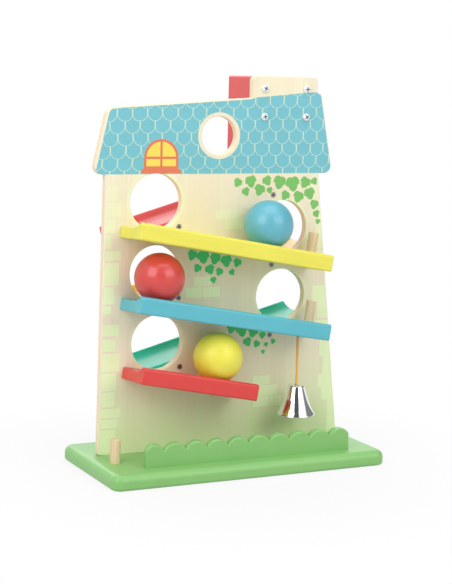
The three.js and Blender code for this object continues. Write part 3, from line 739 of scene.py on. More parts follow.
def rail_place(front, level):
    """Where a rail lies: its low end, slope, length and the face of the board that it is fixed to."""
    size = sizes()
    hole_x, hole_z = LEFT_HOLES[level]
    bottom = hole_z * MM - size.hole_radius
    if front:
        slope = math.radians(FRONT_SLOPES[level])
        floor = bottom - HOLE_STEP * MM
        low_x = RIGHT_HOLES[level][0] + FRONT_HEAD if level < 2 else hole_x + LOWEST_RUN
        high_x, down = hole_x - RAIL_TAIL, 1
        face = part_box("house_panel")[0].y - size.seat
    else:
        slope = math.radians(REAR_SLOPES[level])
        floor = bottom + HOLE_STEP * MM
        feed_x = RIGHT_HOLES[level - 1][0] if level else CHIMNEY_X
        low_x, high_x, down = hole_x - REAR_HEAD, feed_x + RAIL_TAIL, -1
        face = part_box("house_panel")[1].y + size.seat
    low_z = floor - size.rail_floor / math.cos(RAIL_TILT) / math.cos(slope)
    low_z -= (low_x - hole_x) * MM * down * math.tan(slope)
    return {
        "front": front, "slope": slope, "low_x": low_x * MM, "low_z": low_z, "down": down,
        "length": abs(high_x - low_x) * MM / math.cos(slope), "face": face,
    }


def rail_matrix(rail):
    """From a rail's own frame, X uphill and Y away from the board, to the row's."""
    return (
        Matrix.Translation((rail["low_x"], rail["face"], rail["low_z"]))
        @ Matrix.Rotation(math.pi if rail["front"] else 0, 4, "Z")
        @ Matrix.Rotation(-rail["slope"], 4, "Y")
        @ Matrix.Rotation(RAIL_TILT, 4, "X")
    )


def rail_turn(rail):
    """Turns the grain of a rail's paint to run along it."""
    return -rail["slope"] * rail["down"]


def make_rail(name, rail, finish):
    """Planes a rail: a hollowed floor that sweeps up to a lip along its outer edge."""
    size = sizes()
    floor = size.rail_floor - size.rail_dish
    lip_x = size.rail_width - size.rail_lip
    sweep = math.acos(1 - (size.rail_height - floor) / size.rail_cove)
    cove_foot = lip_x - size.rail_cove * math.sin(sweep)
    inner = size.rail_floor * math.tan(RAIL_TILT)
    corners = (
        (0, 0, 0),
        (size.rail_width, 0, OUTER_FOOT * MM),
        (size.rail_width, size.rail_height, LIP_OUTER * MM),
        (lip_x, size.rail_height, LIP_INNER * MM),
        (cove_foot + size.rail_cove * math.tan(sweep / 2), floor, COVE_SHARE * size.rail_cove, 14),
        (inner + FLOOR_RUN * MM, floor, FLOOR_END * MM),
        (inner, size.rail_floor, FLOOR_EDGE * MM),
    )
    bm = bmesh.new()
    rounded_face(bm, corners, lambda out, up: Vector((0, out, up)), segments=6)
    thicken(bm, (rail["length"], 0, 0))
    round_edges(
        bm, lambda edge: sharp(edge) and level_with(edge, 0, 0, rail["length"]), size.rail_end, 4
    )
    move(bm, rail_matrix(rail))
    return add_piece(name + "_wood", bm, finish, replaces=(name,))


def ball_seat():
    """A ball's middle in a rail's section: from the rail's inner edge, and above its lower edge."""
    size = sizes()
    inset = size.ball_radius + size.ball_gap - size.seat
    stack = size.rail_floor - size.rail_dish + size.ball_radius + size.ball_gap
    return inset, stack / math.cos(RAIL_TILT) + inset * math.tan(RAIL_TILT)


def post_along(rail, x):
    """How far up a rail its post stands to stop a ball in front of the hole at x."""
    size = sizes()
    inset, height = ball_seat()
    ball_inset = inset * math.cos(RAIL_TILT) + height * math.sin(RAIL_TILT)
    reach = size.ball_radius + size.dowel_radius + size.ball_gap
    slope = rail["slope"]
    ball = (rail["low_x"] - x) * rail["down"] / math.cos(slope) + height * math.tan(slope)
    return ball - math.sqrt(reach ** 2 - (ball_inset - size.post_inset) ** 2)


def dowel(bm, height, foot, sides=48):
    """A dowel that stands on the plane z = 0 and is sunk below it by foot."""
    radius = sizes().dowel_radius
    bmesh.ops.create_cone(
        bm, cap_ends=True, segments=sides, radius1=radius, radius2=radius, depth=height + foot,
        matrix=Matrix.Translation((0, 0, (height - foot) / 2)),
    )
    round_edges(bm, lambda edge: level_with(edge, 2, height), DOWEL_EDGE * MM, 4)


# Operators


class BallRunOperator(bpy.types.Operator):
    """What every piece's operator shares."""

    bl_options = {"REGISTER", "UNDO"}

    def execute(self, context):
        self.make(context)
        return {"FINISHED"}


# The camera, fitted to the photo
CAMERA_PLACE = (-0.6318, -1.28755, 0.3611)
CAMERA_ANGLES = (-26.13, 7.93, 1.33)  # azimuth, elevation and roll, in degrees
FOCAL_PIXELS = 1553
SENSOR_HEIGHT = 24
LAMP_TARGET = Vector((0, 0, 0.18))
CARD_DISTANCE = 2.1
CARD_FOOT = 0.3
FLOOR_HALF = 6
LAMPS = (
    # Each lamp's name, place, width, height and power
    ("key", (-1.15, -0.62, 0.95), 1.0, 1.0, 10.4),
    ("fill", (0.60, -1.38, 0.95), 1.1, 0.9, 8.2),
    ("top", (0.0, -0.25, 1.7), 1.2, 1.2, 8.0),
    ("rear", (0.25, 1.25, 1.0), 1.4, 1.0, 8.0),
)
CARDS = (
    # Dark sheets that the bell mirrors: each one's name, bearing from the bell, width, height and brightness
    ("card_behind", -25, 1.7, 2.8, 0.10),
    ("card_right", 86, 2.5, 2.8, 0.24),
)


class BALLRUN_OT_stage(BallRunOperator):
    """Make the camera, the floor, the lamps, the bell's dark cards and the white surroundings."""

    bl_idname = "ball_run.stage"
    bl_label = "Stage"

    def make(self, context):
        scene = context.scene
        scene.view_settings.view_transform = "Standard"
        self.make_camera(scene)
        self.make_floor()
        self.make_lamps(scene)
        self.make_cards()
        self.make_world(scene)

    def make_camera(self, scene):
        azimuth, elevation, roll = (math.radians(angle) for angle in CAMERA_ANGLES)
        back = Vector((
            math.sin(azimuth) * math.cos(elevation),
            -math.cos(azimuth) * math.cos(elevation),
            math.sin(elevation),
        ))
        level = Vector((math.cos(azimuth), math.sin(azimuth), 0))
        upright = back.cross(level)
        right = math.cos(roll) * level + math.sin(roll) * upright
        up = math.cos(roll) * upright - math.sin(roll) * level
        turn = Matrix((right, up, back)).transposed().to_4x4()
        camera = bpy.data.cameras.new("camera")
        camera.sensor_fit = "VERTICAL"
        camera.sensor_height = SENSOR_HEIGHT
        camera.lens = FOCAL_PIXELS * SENSOR_HEIGHT / PHOTO_SIZE[1]
        camera.clip_end = 50
        item = bpy.data.objects.new("camera", camera)
        item.matrix_world = Matrix.Translation(CAMERA_PLACE) @ turn
        scene.collection.objects.link(item)
        scene.camera = item

    def add_sheet(self, name, matrix, material):
        """A flat square of the stage, two metres across before the matrix sizes it."""
        bm = bmesh.new()
        bmesh.ops.create_grid(bm, x_segments=1, y_segments=1, size=1, matrix=matrix)
        mesh = bpy.data.meshes.new(name)
        bm.to_mesh(mesh)
        bm.free()
        sheet = bpy.data.objects.new(name, mesh)
        bpy.context.scene.collection.objects.link(sheet)
        mesh.materials.append(material)
        return sheet

    def make_floor(self):
        finish = new_finish("studio_floor")
        seen, mirrored = finish.rays()
        reach = finish.add("ShaderNodeVectorMath", {"operation": "LENGTH"}, (finish.coords(),), "Value")
        bright = 0.84 + finish.step(reach, 0.12, 0.34) * 0.16
        matte = finish.add("ShaderNodeBsdfDiffuse", None, {"Color": (0.70, 0.70, 0.70)})
        glow = finish.add("ShaderNodeEmission", None, {"Color": (1, 1, 1), "Strength": 1})
        share = (seen * bright + mirrored * 0.6).math("MINIMUM", 1.0)
        material = finish.done(finish.add("ShaderNodeMixShader", None, (share, matte, glow)))
        self.add_sheet("floor", Matrix.Scale(FLOOR_HALF, 4), material)

    def make_lamps(self, scene):
        for name, place, width, height, power in LAMPS:
            lamp = bpy.data.lights.new(name, "AREA")
            lamp.shape = "RECTANGLE"
            lamp.size = width
            lamp.size_y = height
            lamp.energy = power
            item = bpy.data.objects.new(name, lamp)
            item.location = place
            aim = LAMP_TARGET - Vector(place)
            item.rotation_euler = aim.to_track_quat("-Z", "Y").to_euler()
            scene.collection.objects.link(item)

    def make_cards(self):
        low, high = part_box("bell")
        for name, bearing, width, height, bright in CARDS:
            finish = new_finish(name)
            grey = {"Color": (0.92, 1, 0.96), "Strength": bright}
            material = finish.done(finish.add("ShaderNodeEmission", None, grey))
            place = (
                Matrix.Translation((low + high) / 2)
                @ Matrix.Rotation(math.radians(bearing), 4, "Z")
                @ Matrix.Translation((0, -CARD_DISTANCE, CARD_FOOT + height / 2))
                @ Matrix.Rotation(math.pi / 2, 4, "X")
                @ Matrix.Diagonal((width / 2, height / 2, 1, 1))
            )
            card = self.add_sheet(name, place, material)
            card.visible_camera = False
            card.visible_diffuse = False
            card.visible_shadow = False

    def make_world(self, scene):
        scene.world = bpy.data.worlds.new("studio")
        finish = Finish(scene.world)
        seen, mirrored = finish.rays()
        light = finish.add("ShaderNodeBackground", None, {"Color": (1, 1, 1), "Strength": 0.52})
        white = finish.add("ShaderNodeBackground", None, {"Color": (1, 1, 1), "Strength": 1})
        share = (seen + mirrored).math("MINIMUM", 1.0)
        finish.done(finish.add("ShaderNodeMixShader", None, (share, light, white)), "ShaderNodeOutputWorld")


STRANDS = 3
STRAND_SHARE = 0.34  # of the cord's diameter
KNOT_LOOPS = ((24, 0), (-30, 70), (12, 140))  # each loop's tilt and swing, in degrees
KNOT_RING, KNOT_TUBE = 0.56, 0.42  # shares of the knot's radius


class BALLRUN_OT_cord(BallRunOperator):
    """Twist the bell's cord from three strands, and tie its knot."""

    bl_idname = "ball_run.cord"
    bl_label = "Bell cord"

    def make(self, context):
        low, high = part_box("bell_cord")
        middle = (low + high) / 2
        length = high.z - low.z
        diameter = sizes().cord_diameter
        finish = cord_finish()
        bm = bmesh.new()
        foot = Vector((middle.x, middle.y, low.z))
        for i in range(STRANDS):
            self.twist(bm, foot, diameter, i * 2 * math.pi / STRANDS, length)
        face_outwards(bm)
        cord = add_piece("twisted_bell_cord", bm, finish, "cord", ("bell_cord",))
        knot = self.make_knot(finish)

    def twist(self, bm, foot, diameter, phase, length, turns=9, steps=14):
        strand = diameter * STRAND_SHARE
        offset = Vector((diameter / 2 - strand, 0, 0))
        offset.rotate(Matrix.Rotation(phase, 3, "Z"))
        place = Matrix.Translation(foot + offset)
        made = bmesh.ops.create_circle(bm, cap_ends=True, segments=10, radius=strand, matrix=place)
        disc = list({face for vert in made["verts"] for face in vert.link_faces})
        bmesh.ops.spin(
            bm, geom=disc, cent=foot, axis=(0, 0, 1), dvec=(0, 0, length / turns / steps),
            angle=turns * 2 * math.pi, steps=turns * steps,
        )
        merge(bm, NEAR / 10)

    def make_knot(self, finish):
        low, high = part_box("cord_knot")
        middle = (low + high) / 2
        radius = (high.x - low.x) / 2
        bm = bmesh.new()
        for tilt, swing in KNOT_LOOPS:
            turn = (
                Matrix.Rotation(math.radians(swing), 4, "Z") @ Matrix.Rotation(math.radians(tilt), 4, "X")
            )
            part = bmesh.new()
            lying = Matrix.Translation((radius * KNOT_RING, 0, 0)) @ Matrix.Rotation(math.pi / 2, 4, "X")
            bmesh.ops.create_circle(part, segments=12, radius=radius * KNOT_TUBE, matrix=lying)
            bmesh.ops.spin(
                part, geom=part.verts[:] + part.edges[:], cent=(0, 0, 0), axis=(0, 0, 1),
                angle=2 * math.pi, steps=28, use_merge=True,
            )
            merge(part, NEAR)
            face_outwards(part)
            move(part, Matrix.Translation(middle) @ turn)
            take_in(bm, part)
        return add_piece("tied_knot", bm, finish, "cord", ("cord_knot",))


# The base, in millimetres
PEG_SINK = 8
BASE_SCREW_HOLE = 3.85
SCALLOPS = 10
SCALLOP_PITCH = 21.05
SCALLOP_RISE = 5.8
HEDGE_END = 7.5
HEDGE_EDGE = 1.9


class BALLRUN_OT_base(BallRunOperator):
    """Make the base, the scalloped hedge and the peg."""

    bl_idname = "ball_run.base"
    bl_label = "Base"

    def make(self, context):
        finish = paint_finish("green_paint", colours().green)
        self.make_base(finish)
        self.make_hedge(finish)
        low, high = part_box("ball_peg")
        bm = bmesh.new()
        foot = PEG_SINK * MM
        dowel(bm, high.z - low.z - foot, foot)
        place = Vector(((low.x + high.x) / 2, (low.y + high.y) / 2, low.z + foot))
        move(bm, Matrix.Translation(place))
        peg_finish = wood_finish("peg_wood", colours().wood)
        add_piece("turned_peg", bm, peg_finish, replaces=("ball_peg",))

    def make_base(self, finish):
        size = sizes()
        low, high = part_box("base_board")
        panel_low, panel_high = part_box("house_panel")
        bm = bmesh.new()
        corners = rectangle(low, high, size.base_corner)
        rounded_face(bm, corners, lambda x, y: Vector((x, y, 0)), segments=12)
        screw_y = (panel_low.y + panel_high.y) / 2
        holes = [((x * MM, screw_y, 0), BASE_SCREW_HOLE * MM, 24) for x in BASE_SCREW_XS]
        punch_holes(bm, holes, Matrix.Identity(4))
        thicken(bm, (0, 0, high.z))

        def outside(edge):
            return sharp(edge) and not any(self.in_hole(vert.co, screw_y) for vert in edge.verts)

        for level, offset, segments in ((high.z, size.base_top_round, 10), (0, size.base_foot_round, 5)):
            round_edges(bm, lambda edge: outside(edge) and level_with(edge, 2, level), offset, segments)
        add_piece("rounded_base", bm, finish, replaces=("base_board",))

    def in_hole(self, point, screw_y):
        reach = (BASE_SCREW_HOLE + HOLE_MARGIN) * MM
        return any(math.hypot(point.x - x * MM, point.y - screw_y) < reach for x in BASE_SCREW_XS)

    def make_hedge(self, finish):
        low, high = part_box("hedge_board")
        pitch, rise, end_round = SCALLOP_PITCH * MM, SCALLOP_RISE * MM, HEDGE_END * MM
        radius = ((pitch / 2) ** 2 + rise ** 2) / (2 * rise)
        half = math.asin(pitch / 2 / radius)
        bm = bmesh.new()
        start = bm.verts.new((high.x, low.y, low.z))
        last = bm.verts.new((high.x, low.y, high.z - rise))
        bm.edges.new((start, last))
        toward_left = (0, -1, 0)
        for i in range(SCALLOPS):
            middle = (high.x - pitch * (i + 0.5), low.y, high.z - radius)
            halves = 2 if i < SCALLOPS - 1 else 1
            last = arc(bm, last, middle, toward_left, halves * half, halves * 7)
        end_middle = (low.x + end_round, low.y, high.z - end_round)
        last = arc(bm, last, end_middle, toward_left, math.pi / 2, 9)
        foot = bm.verts.new((low.x, low.y, low.z))
        bm.edges.new((last, foot))
        bm.edges.new((foot, start))
        bmesh.ops.contextual_create(bm, geom=bm.edges[:])
        thicken(bm, (0, high.y - low.y, 0))

        def rim(edge):
            return level_with(edge, 1, low.y, high.y) and not level_with(edge, 2, low.z)

        round_edges(bm, rim, HEDGE_EDGE * MM, 6)
        add_piece("scalloped_hedge", bm, finish, replaces=("hedge_board",), angle=25)


RAIL_SCREW_HOLE = 2.65  # millimetres


class BALLRUN_OT_house(BallRunOperator):
    """Saw out the house board with its roof, chimney and round holes."""

    bl_idname = "ball_run.house"
    bl_label = "House board"

    def make(self, context):
        size = sizes()
        low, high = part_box("house_panel")
        upright = Matrix.Rotation(math.pi / 2, 4, "X")
        bm = bmesh.new()
        corners = [(x * MM, z * MM, radius * MM) for x, z, radius in PANEL_CORNERS]
        rounded_face(bm, corners, lambda x, z: Vector((x, low.y, z)), segments=7)
        holes = [((x * MM, low.y, z * MM), size.hole_radius, 72) for x, z in LEFT_HOLES + RIGHT_HOLES]
        holes.append(((ROOF_HOLE[0] * MM, low.y, ROOF_HOLE[1] * MM), ROOF_HOLE_RADIUS * MM, 60))
        screws = [(middle.x, middle.z) for middle in self.screw_middles()]
        holes += [((x, low.y, z), RAIL_SCREW_HOLE * MM, 20) for x, z in screws]
        punch_holes(bm, holes, upright)
        thicken(bm, (0, high.y - low.y, 0))

        def in_screw_hole(point):
            reach = (RAIL_SCREW_HOLE + HOLE_MARGIN) * MM
            return any(math.hypot(point.x - x, point.z - z) < reach for x, z in screws)

        def rim(edge):
            shut = level_with(edge, 2, PANEL_FOOT * MM) or in_screw_hole(edge.verts[0].co)
            return level_with(edge, 1, low.y, high.y) and sharp(edge) and not shut

        round_edges(bm, rim, size.panel_edge, 3)
        add_piece("printed_house", bm, board_finish(), replaces=("house_panel",))

    def screw_middles(self):
        for side in ("front", "rear"):
            for level in LEVELS:
                for i in (1, 2):
                    low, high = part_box(f"{side}_rail_{level}_screw_{i}")
                    yield (low + high) / 2


# The print, in millimetres: each leaf's middle [x, z], its width and its turn in degrees
EAVE_IVY = (
    (12, 263, 9, 30), (20.5, 254.5, 8.5, -25), (25.5, 264, 12, -12), (35, 256, 11.5, 18),
    (42.5, 264.5, 10, -30), (45.5, 255.5, 6.5, -14), (56, 263, 13.5, 14), (62.5, 250.5, 9.5, 32),
    (70, 261.5, 15, -10), (76.5, 249, 11.5, 20), (83.5, 262.5, 11.5, 28), (88.5, 252, 12, -16),
    (93, 263.5, 7.5, -36), (94, 241.5, 9.5, 14), (96.5, 232.5, 7.5, -22), (98.5, 225, 5.5, 16),
)
RAIL_IVY = (
    # Under the yellow rail, then under the blue one
    (-33, 196.5, 10.5, 20), (-22, 194.5, 13, -8), (-27.5, 184, 8.5, 32), (-9.5, 192.5, 11.5, 16),
    (-15, 182.5, 10, -26), (2, 190, 12, -6), (-5, 180, 8, 26), (-11, 172.5, 6.5, -10),
    (13.5, 188, 9, 20), (8, 179, 6.5, -30),
    (9, 126, 10.5, 14), (20, 123.5, 13, -10), (32, 121.5, 11.5, 20), (26, 112, 9.5, -24),
    (41.8, 117.8, 7.5, 4), (36, 109.5, 7.5, 30), (46, 108.5, 5, -16), (53.5, 111, 5.5, 22),
    (43, 101.5, 4.5, -8),
)
IVY_LEAF = (
    # Half of a leaf that points down, from its top to its tip, in widths
    (0.0, 0.38), (0.20, 0.43), (0.38, 0.35), (0.46, 0.16), (0.50, -0.08),
    (0.39, -0.10), (0.31, -0.17), (0.28, -0.30), (0.15, -0.45), (0.0, -0.53),
)
# Bricks along the wall's left edge, then its right edge: each one's top, its foot and how far in it reaches
LEFT_QUOINS = (
    (261, 247.5, -108), (246, 233, -103.6), (231.6, 218.6, -109.8), (216.6, 204.6, -113.8),
    (202, 193.7, -103.8), (191.6, 171, -105.8), (169.7, 154, -110), (152, 145, -113),
    (135, 124.5, -105), (121.7, 110.4, -108.4), (108.7, 91.6, -103.8), (90.5, 74, -107.2),
    (72.8, 59.2, -108.5), (57.4, 48.8, -103), (47.6, 39, -105.4), (37.7, 16, -107.4),
)
RIGHT_QUOINS = (
    (262, 248, 90), (231, 214, 96), (214, 199, 92), (197, 180, 99), (163, 147, 95), (147, 131, 101),
    (129, 112, 98), (110, 93, 104.6), (93, 75.5, 108.6), (75.5, 63, 104), (63, 50, 108), (50, 16, 115),
)
BRICK_GROUPS = (
    # Bricks inside the wall: left, right, foot and top
    (-10, 6.6, 229, 238), (7.2, 19, 229, 238), (-0.3, 18.7, 219.6, 228.4),
    (-30.6, -13.2, 166.6, 176), (-38.8, -22.3, 156.4, 166), (-21.7, -4, 156.4, 166),
    (33, 50.6, 69.4, 78.5), (39, 59.2, 58.6, 68.8), (33.6, 51, 48, 58), (51.6, 64.3, 48, 58),
)
QUOIN_INSET = 1.2
BRICK_CORNER = 0.7
BRICK_FADE = 0.58
WINDOW_FOOT = (-66, 276)
WINDOW_SIZE = (34, 27)
WINDOW_BORDER = 2.4
WINDOW_BAR = 1.1
WINDOW_SILL = ((-20, -4), (20, -4), (19, 0), (-19, 0))
PANE_LAYERS = 1.5


class BALLRUN_OT_print(BallRunOperator):
    """Print the bricks, the ivy and the round-topped window on the front of the house board."""

    bl_idname = "ball_run.print"
    bl_label = "Bricks, ivy and window"

    def make(self, context):
        paint = colours()
        self.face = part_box("house_panel")[0].y
        self.depth = sizes().print_depth
        self.make_bricks(paint)
        self.make_ivy("eave_ivy_print", EAVE_IVY, ink_finish("leaf_ink", paint.leaf, 0.96))
        self.make_ivy("rail_ivy_print", RAIL_IVY, ink_finish("deep_leaf_ink", paint.deep_leaf, 0.985))
        self.make_window(paint)

    def make_ivy(self, name, leaves, finish):
        """Prints leaves, neighbours in slightly different thicknesses so that no faces coincide."""
        bm = bmesh.new()
        around = [*IVY_LEAF, *((-a, b) for a, b in reversed(IVY_LEAF[1:-1]))]
        for i, (x, z, width, turn) in enumerate(leaves):
            place = (
                Matrix.Translation((x * MM, self.face, z * MM))
                @ Matrix.Rotation(math.radians(turn), 4, "Y")
                @ Matrix.Scale(width * MM, 4)
            )
            self.press_face(bm, [place @ Vector((a, 0, b)) for a, b in around], 1 + 0.1 * (i % 5))
        add_piece(name, bm, finish)

    def press_face(self, bm, points, layers=1.0):
        part = bmesh.new()
        flat_face(part, points)
        self.press(bm, part, layers)

    def press(self, bm, part, layers=1.0):
        """Gives a flat shape on the board's front the thickness of ink, and adds it to the print."""
        thicken(part, (0, -self.depth * layers, 0))
        take_in(bm, part)

    def make_bricks(self, paint):
        bricks = [
            ((left, foot), (right, foot), (right, top), (left, top))
            for left, right, foot, top in BRICK_GROUPS
        ]
        for top, foot, reach in LEFT_QUOINS:
            low, high = (self.wall_x(0, z) + QUOIN_INSET for z in (foot, top))
            bricks.append(((low, foot), (reach, foot), (reach, top), (high, top)))
        for top, foot, reach in RIGHT_QUOINS:
            low, high = (self.wall_x(1, z) - QUOIN_INSET for z in (foot, top))
            bricks.append(((reach, foot), (low, foot), (high, top), (reach, top)))
        for name, colour, cover, inset, layers in (
            ("brick_joint_print", paint.joint, 0.80, 0.0, 0.25),
            ("brick_print", paint.brick, 0.90, 0.4, 0.5),
        ):
            bm = bmesh.new()
            for corners in bricks:
                self.brick(bm, corners, inset * MM, layers)
            add_piece(name, bm, ink_finish(name + "_ink", colour, cover, BRICK_FADE))

    def wall_x(self, side, z):
        """Where a side of the wall is at a height, in millimetres."""
        share = (z - PANEL_FOOT) / (EAVE - PANEL_FOOT)
        return WALL_FEET[side] + (WALL_EAVES[side] - WALL_FEET[side]) * share

    def brick(self, bm, corners, inset, layers):
        part = bmesh.new()
        round_corners = [(x * MM, z * MM, BRICK_CORNER * MM) for x, z in corners]
        rounded_face(part, round_corners, lambda x, z: Vector((x, self.face, z)), segments=3)
        if inset:
            rim = bmesh.ops.inset_region(
                part, faces=part.faces[:], thickness=inset, use_even_offset=True
            )
            bmesh.ops.delete(part, geom=rim["faces"], context="FACES")
        self.press(bm, part, layers)

    def arch(self, x, z, width, height, steps=24):
        """A flat round-topped shape that stands on z."""
        part = bmesh.new()
        half = width / 2
        spring = z + height - half
        points = ((x - half, z), (x + half, z), (x + half, spring))
        verts = [part.verts.new((a, self.face, b)) for a, b in points]
        for pair in zip(verts, verts[1:]):
            part.edges.new(pair)
        last = arc(part, verts[-1], (x, self.face, spring), (0, -1, 0), math.pi, steps)
        part.edges.new((last, verts[0]))
        bmesh.ops.contextual_create(part, geom=part.edges[:])
        return part

    def make_window(self, paint):
        x, z, width, height = (value * MM for value in WINDOW_FOOT + WINDOW_SIZE)
        bm = bmesh.new()
        self.press(bm, self.arch(x, z, width, height))
        self.press_face(bm, [(x + a * MM, self.face, z + b * MM) for a, b in WINDOW_SILL])
        frame_ink = ink_finish("window_frame_ink", paint.window_frame)
        add_piece("window_frame_print", bm, frame_ink)
        bm = bmesh.new()
        half = width / 2 - WINDOW_BORDER * MM
        spring = z + height - width / 2
        for side in (-1, 1):
            self.make_panes(bm, x, z, side, half, spring)
        add_piece("window_pane_print", bm, ink_finish("window_pane_ink", paint.window))

    def make_panes(self, bm, x, z, side, half, spring):
        """A square pane and a quarter-round one over it, on one side of the window's middle."""
        gap = WINDOW_BAR * MM
        foot, head = z + WINDOW_BORDER * MM, spring - gap
        corner, edge = x + side * gap, x + side * half
        square = ((corner, foot), (edge, foot), (edge, head), (corner, head))
        self.press_face(bm, [(a, self.face, b) for a, b in square], PANE_LAYERS)
        start = math.asin(gap / half)
        part = bmesh.new()
        inner = part.verts.new((corner, self.face, spring + gap))
        first = part.verts.new((x + side * half * math.cos(start), self.face, spring + gap))
        middle = (x, self.face, spring)
        last = arc(part, first, middle, (0, -side, 0), math.pi / 2 - 2 * start, 12)
        part.edges.new((inner, first))
        part.edges.new((last, inner))
        bmesh.ops.contextual_create(part, geom=part.edges[:])
        self.press(bm, part, PANE_LAYERS)


# How thick the coat is and how strongly the paint under it shines
FRONT_LACQUER = (0.12, 0.5)
REAR_LACQUER = (0.32, 0.2)


class BALLRUN_OT_rails(BallRunOperator):
    """Shape the six rails and set a post at the end of each that feeds a hole."""

    bl_idname = "ball_run.rails"
    bl_label = "Rails and posts"

    def make(self, context):
        for front, paints in ((True, FRONT_PAINTS), (False, REAR_PAINTS)):
            for level, paint in enumerate(paints):
                self.make_one(front, level, paint)

    def make_one(self, front, level, paint):
        size = sizes()
        side = "front" if front else "rear"
        name = f"{side}_rail_{LEVELS[level]}"
        rail = rail_place(front, level)
        turn = rail_turn(rail)
        colour = getattr(colours(), paint)
        coat, shine = FRONT_LACQUER if front else REAR_LACQUER
        finish = paint_finish(f"{name}_paint", colour, turn=turn, gloss=0.40, coat=coat, shine=shine)
        make_rail(name, rail, finish)
        if front and level == len(RIGHT_HOLES):
            return  # The lowest front rail is open at its low end
        stop_x = (RIGHT_HOLES if front else LEFT_HOLES)[level][0] * MM
        bm = bmesh.new()
        dowel(bm, size.post_height, POST_SINK * MM)
        floor = (post_along(rail, stop_x), size.post_inset, size.rail_floor - size.rail_dish)
        move(bm, rail_matrix(rail) @ Matrix.Translation(floor))
        post = f"{side}_stop_post_{LEVELS[level]}"
        finish = wood_finish(f"{post}_wood", colours().wood, turn=turn)
        add_piece(f"{post}_dowel", bm, finish, replaces=(post,))


# The chimney block, in millimetres
BORE_RADIUS = 24.5
BORE_WALL = 2.6
BLOCK_CORNER = 3
BLOCK_EDGE = 2.2
ARCH_DROP = 2


class BALLRUN_OT_chimney(BallRunOperator):
    """Bore the chimney block, and cut the arch that lets the ball out onto the upper rear rail."""

    bl_idname = "ball_run.chimney"
    bl_label = "Chimney block"

    def make(self, context):
        low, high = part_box("chimney_block")
        bore = BORE_RADIUS * MM
        middle = Vector(((low.x + high.x) / 2, low.y + BORE_WALL * MM + bore, 0))
        bm = bmesh.new()
        corners = rectangle(low, high, BLOCK_CORNER * MM)
        rounded_face(bm, corners, lambda x, y: Vector((x, y, low.z)), segments=6)
        punch_holes(bm, [((middle.x, middle.y, low.z), bore, 80)], Matrix.Identity(4))
        thicken(bm, (0, 0, high.z - low.z))

        def rim(edge):
            return sharp(edge) and level_with(edge, 2, low.z, high.z)

        round_edges(bm, rim, BLOCK_EDGE * MM, 6)
        finish = paint_finish("chimney_paint", colours().chimney, along=(0, 0, 1))
        block = add_piece("bored_chimney", bm, finish, replaces=("chimney_block",))
        slope = math.radians(REAR_SLOPES[0])
        length = high.x - low.x
        lying = (
            Matrix.Translation((middle.x, middle.y, low.z - ARCH_DROP * MM))
            @ Matrix.Rotation(-math.pi / 2 - slope, 4, "Y")
            @ Matrix.Translation((0, 0, length / 2))
        )
        bm = bmesh.new()
        bmesh.ops.create_cone(
            bm, cap_ends=True, segments=80, radius1=bore, radius2=bore, depth=length, matrix=lying
        )
        carve(block, bm)


# Screws, in millimetres: radius of the shank, length under the face and height of the head
PAN_SCREW = (1.9, 22, 2.4)
RAIL_SCREW = (1.4, 26, 1.8)
BASE_SCREW = (1.7, 34, 2.6)
PAN_CROWN = (
    # A pan head's outline, in shares of its radius and its height
    (0.97, 0), (1, 0.12), (1, 0.34), (0.96, 0.56), (0.86, 0.78), (0.68, 0.92), (0.40, 0.985), (0, 1),
)
SUNK_CROWN = (
    # A sunk head's outline: shares of its radius, and heights over its level
    (1, -0.35), (1, -0.12), (0.95, 0), (0.55, 0.06), (0, 0.08),
)
SUNK_BY = 0.1
CROSS_DEPTH = 1.3
CROSS_ARM, CROSS_HALF = 0.66, 0.15  # shares of the head's radius


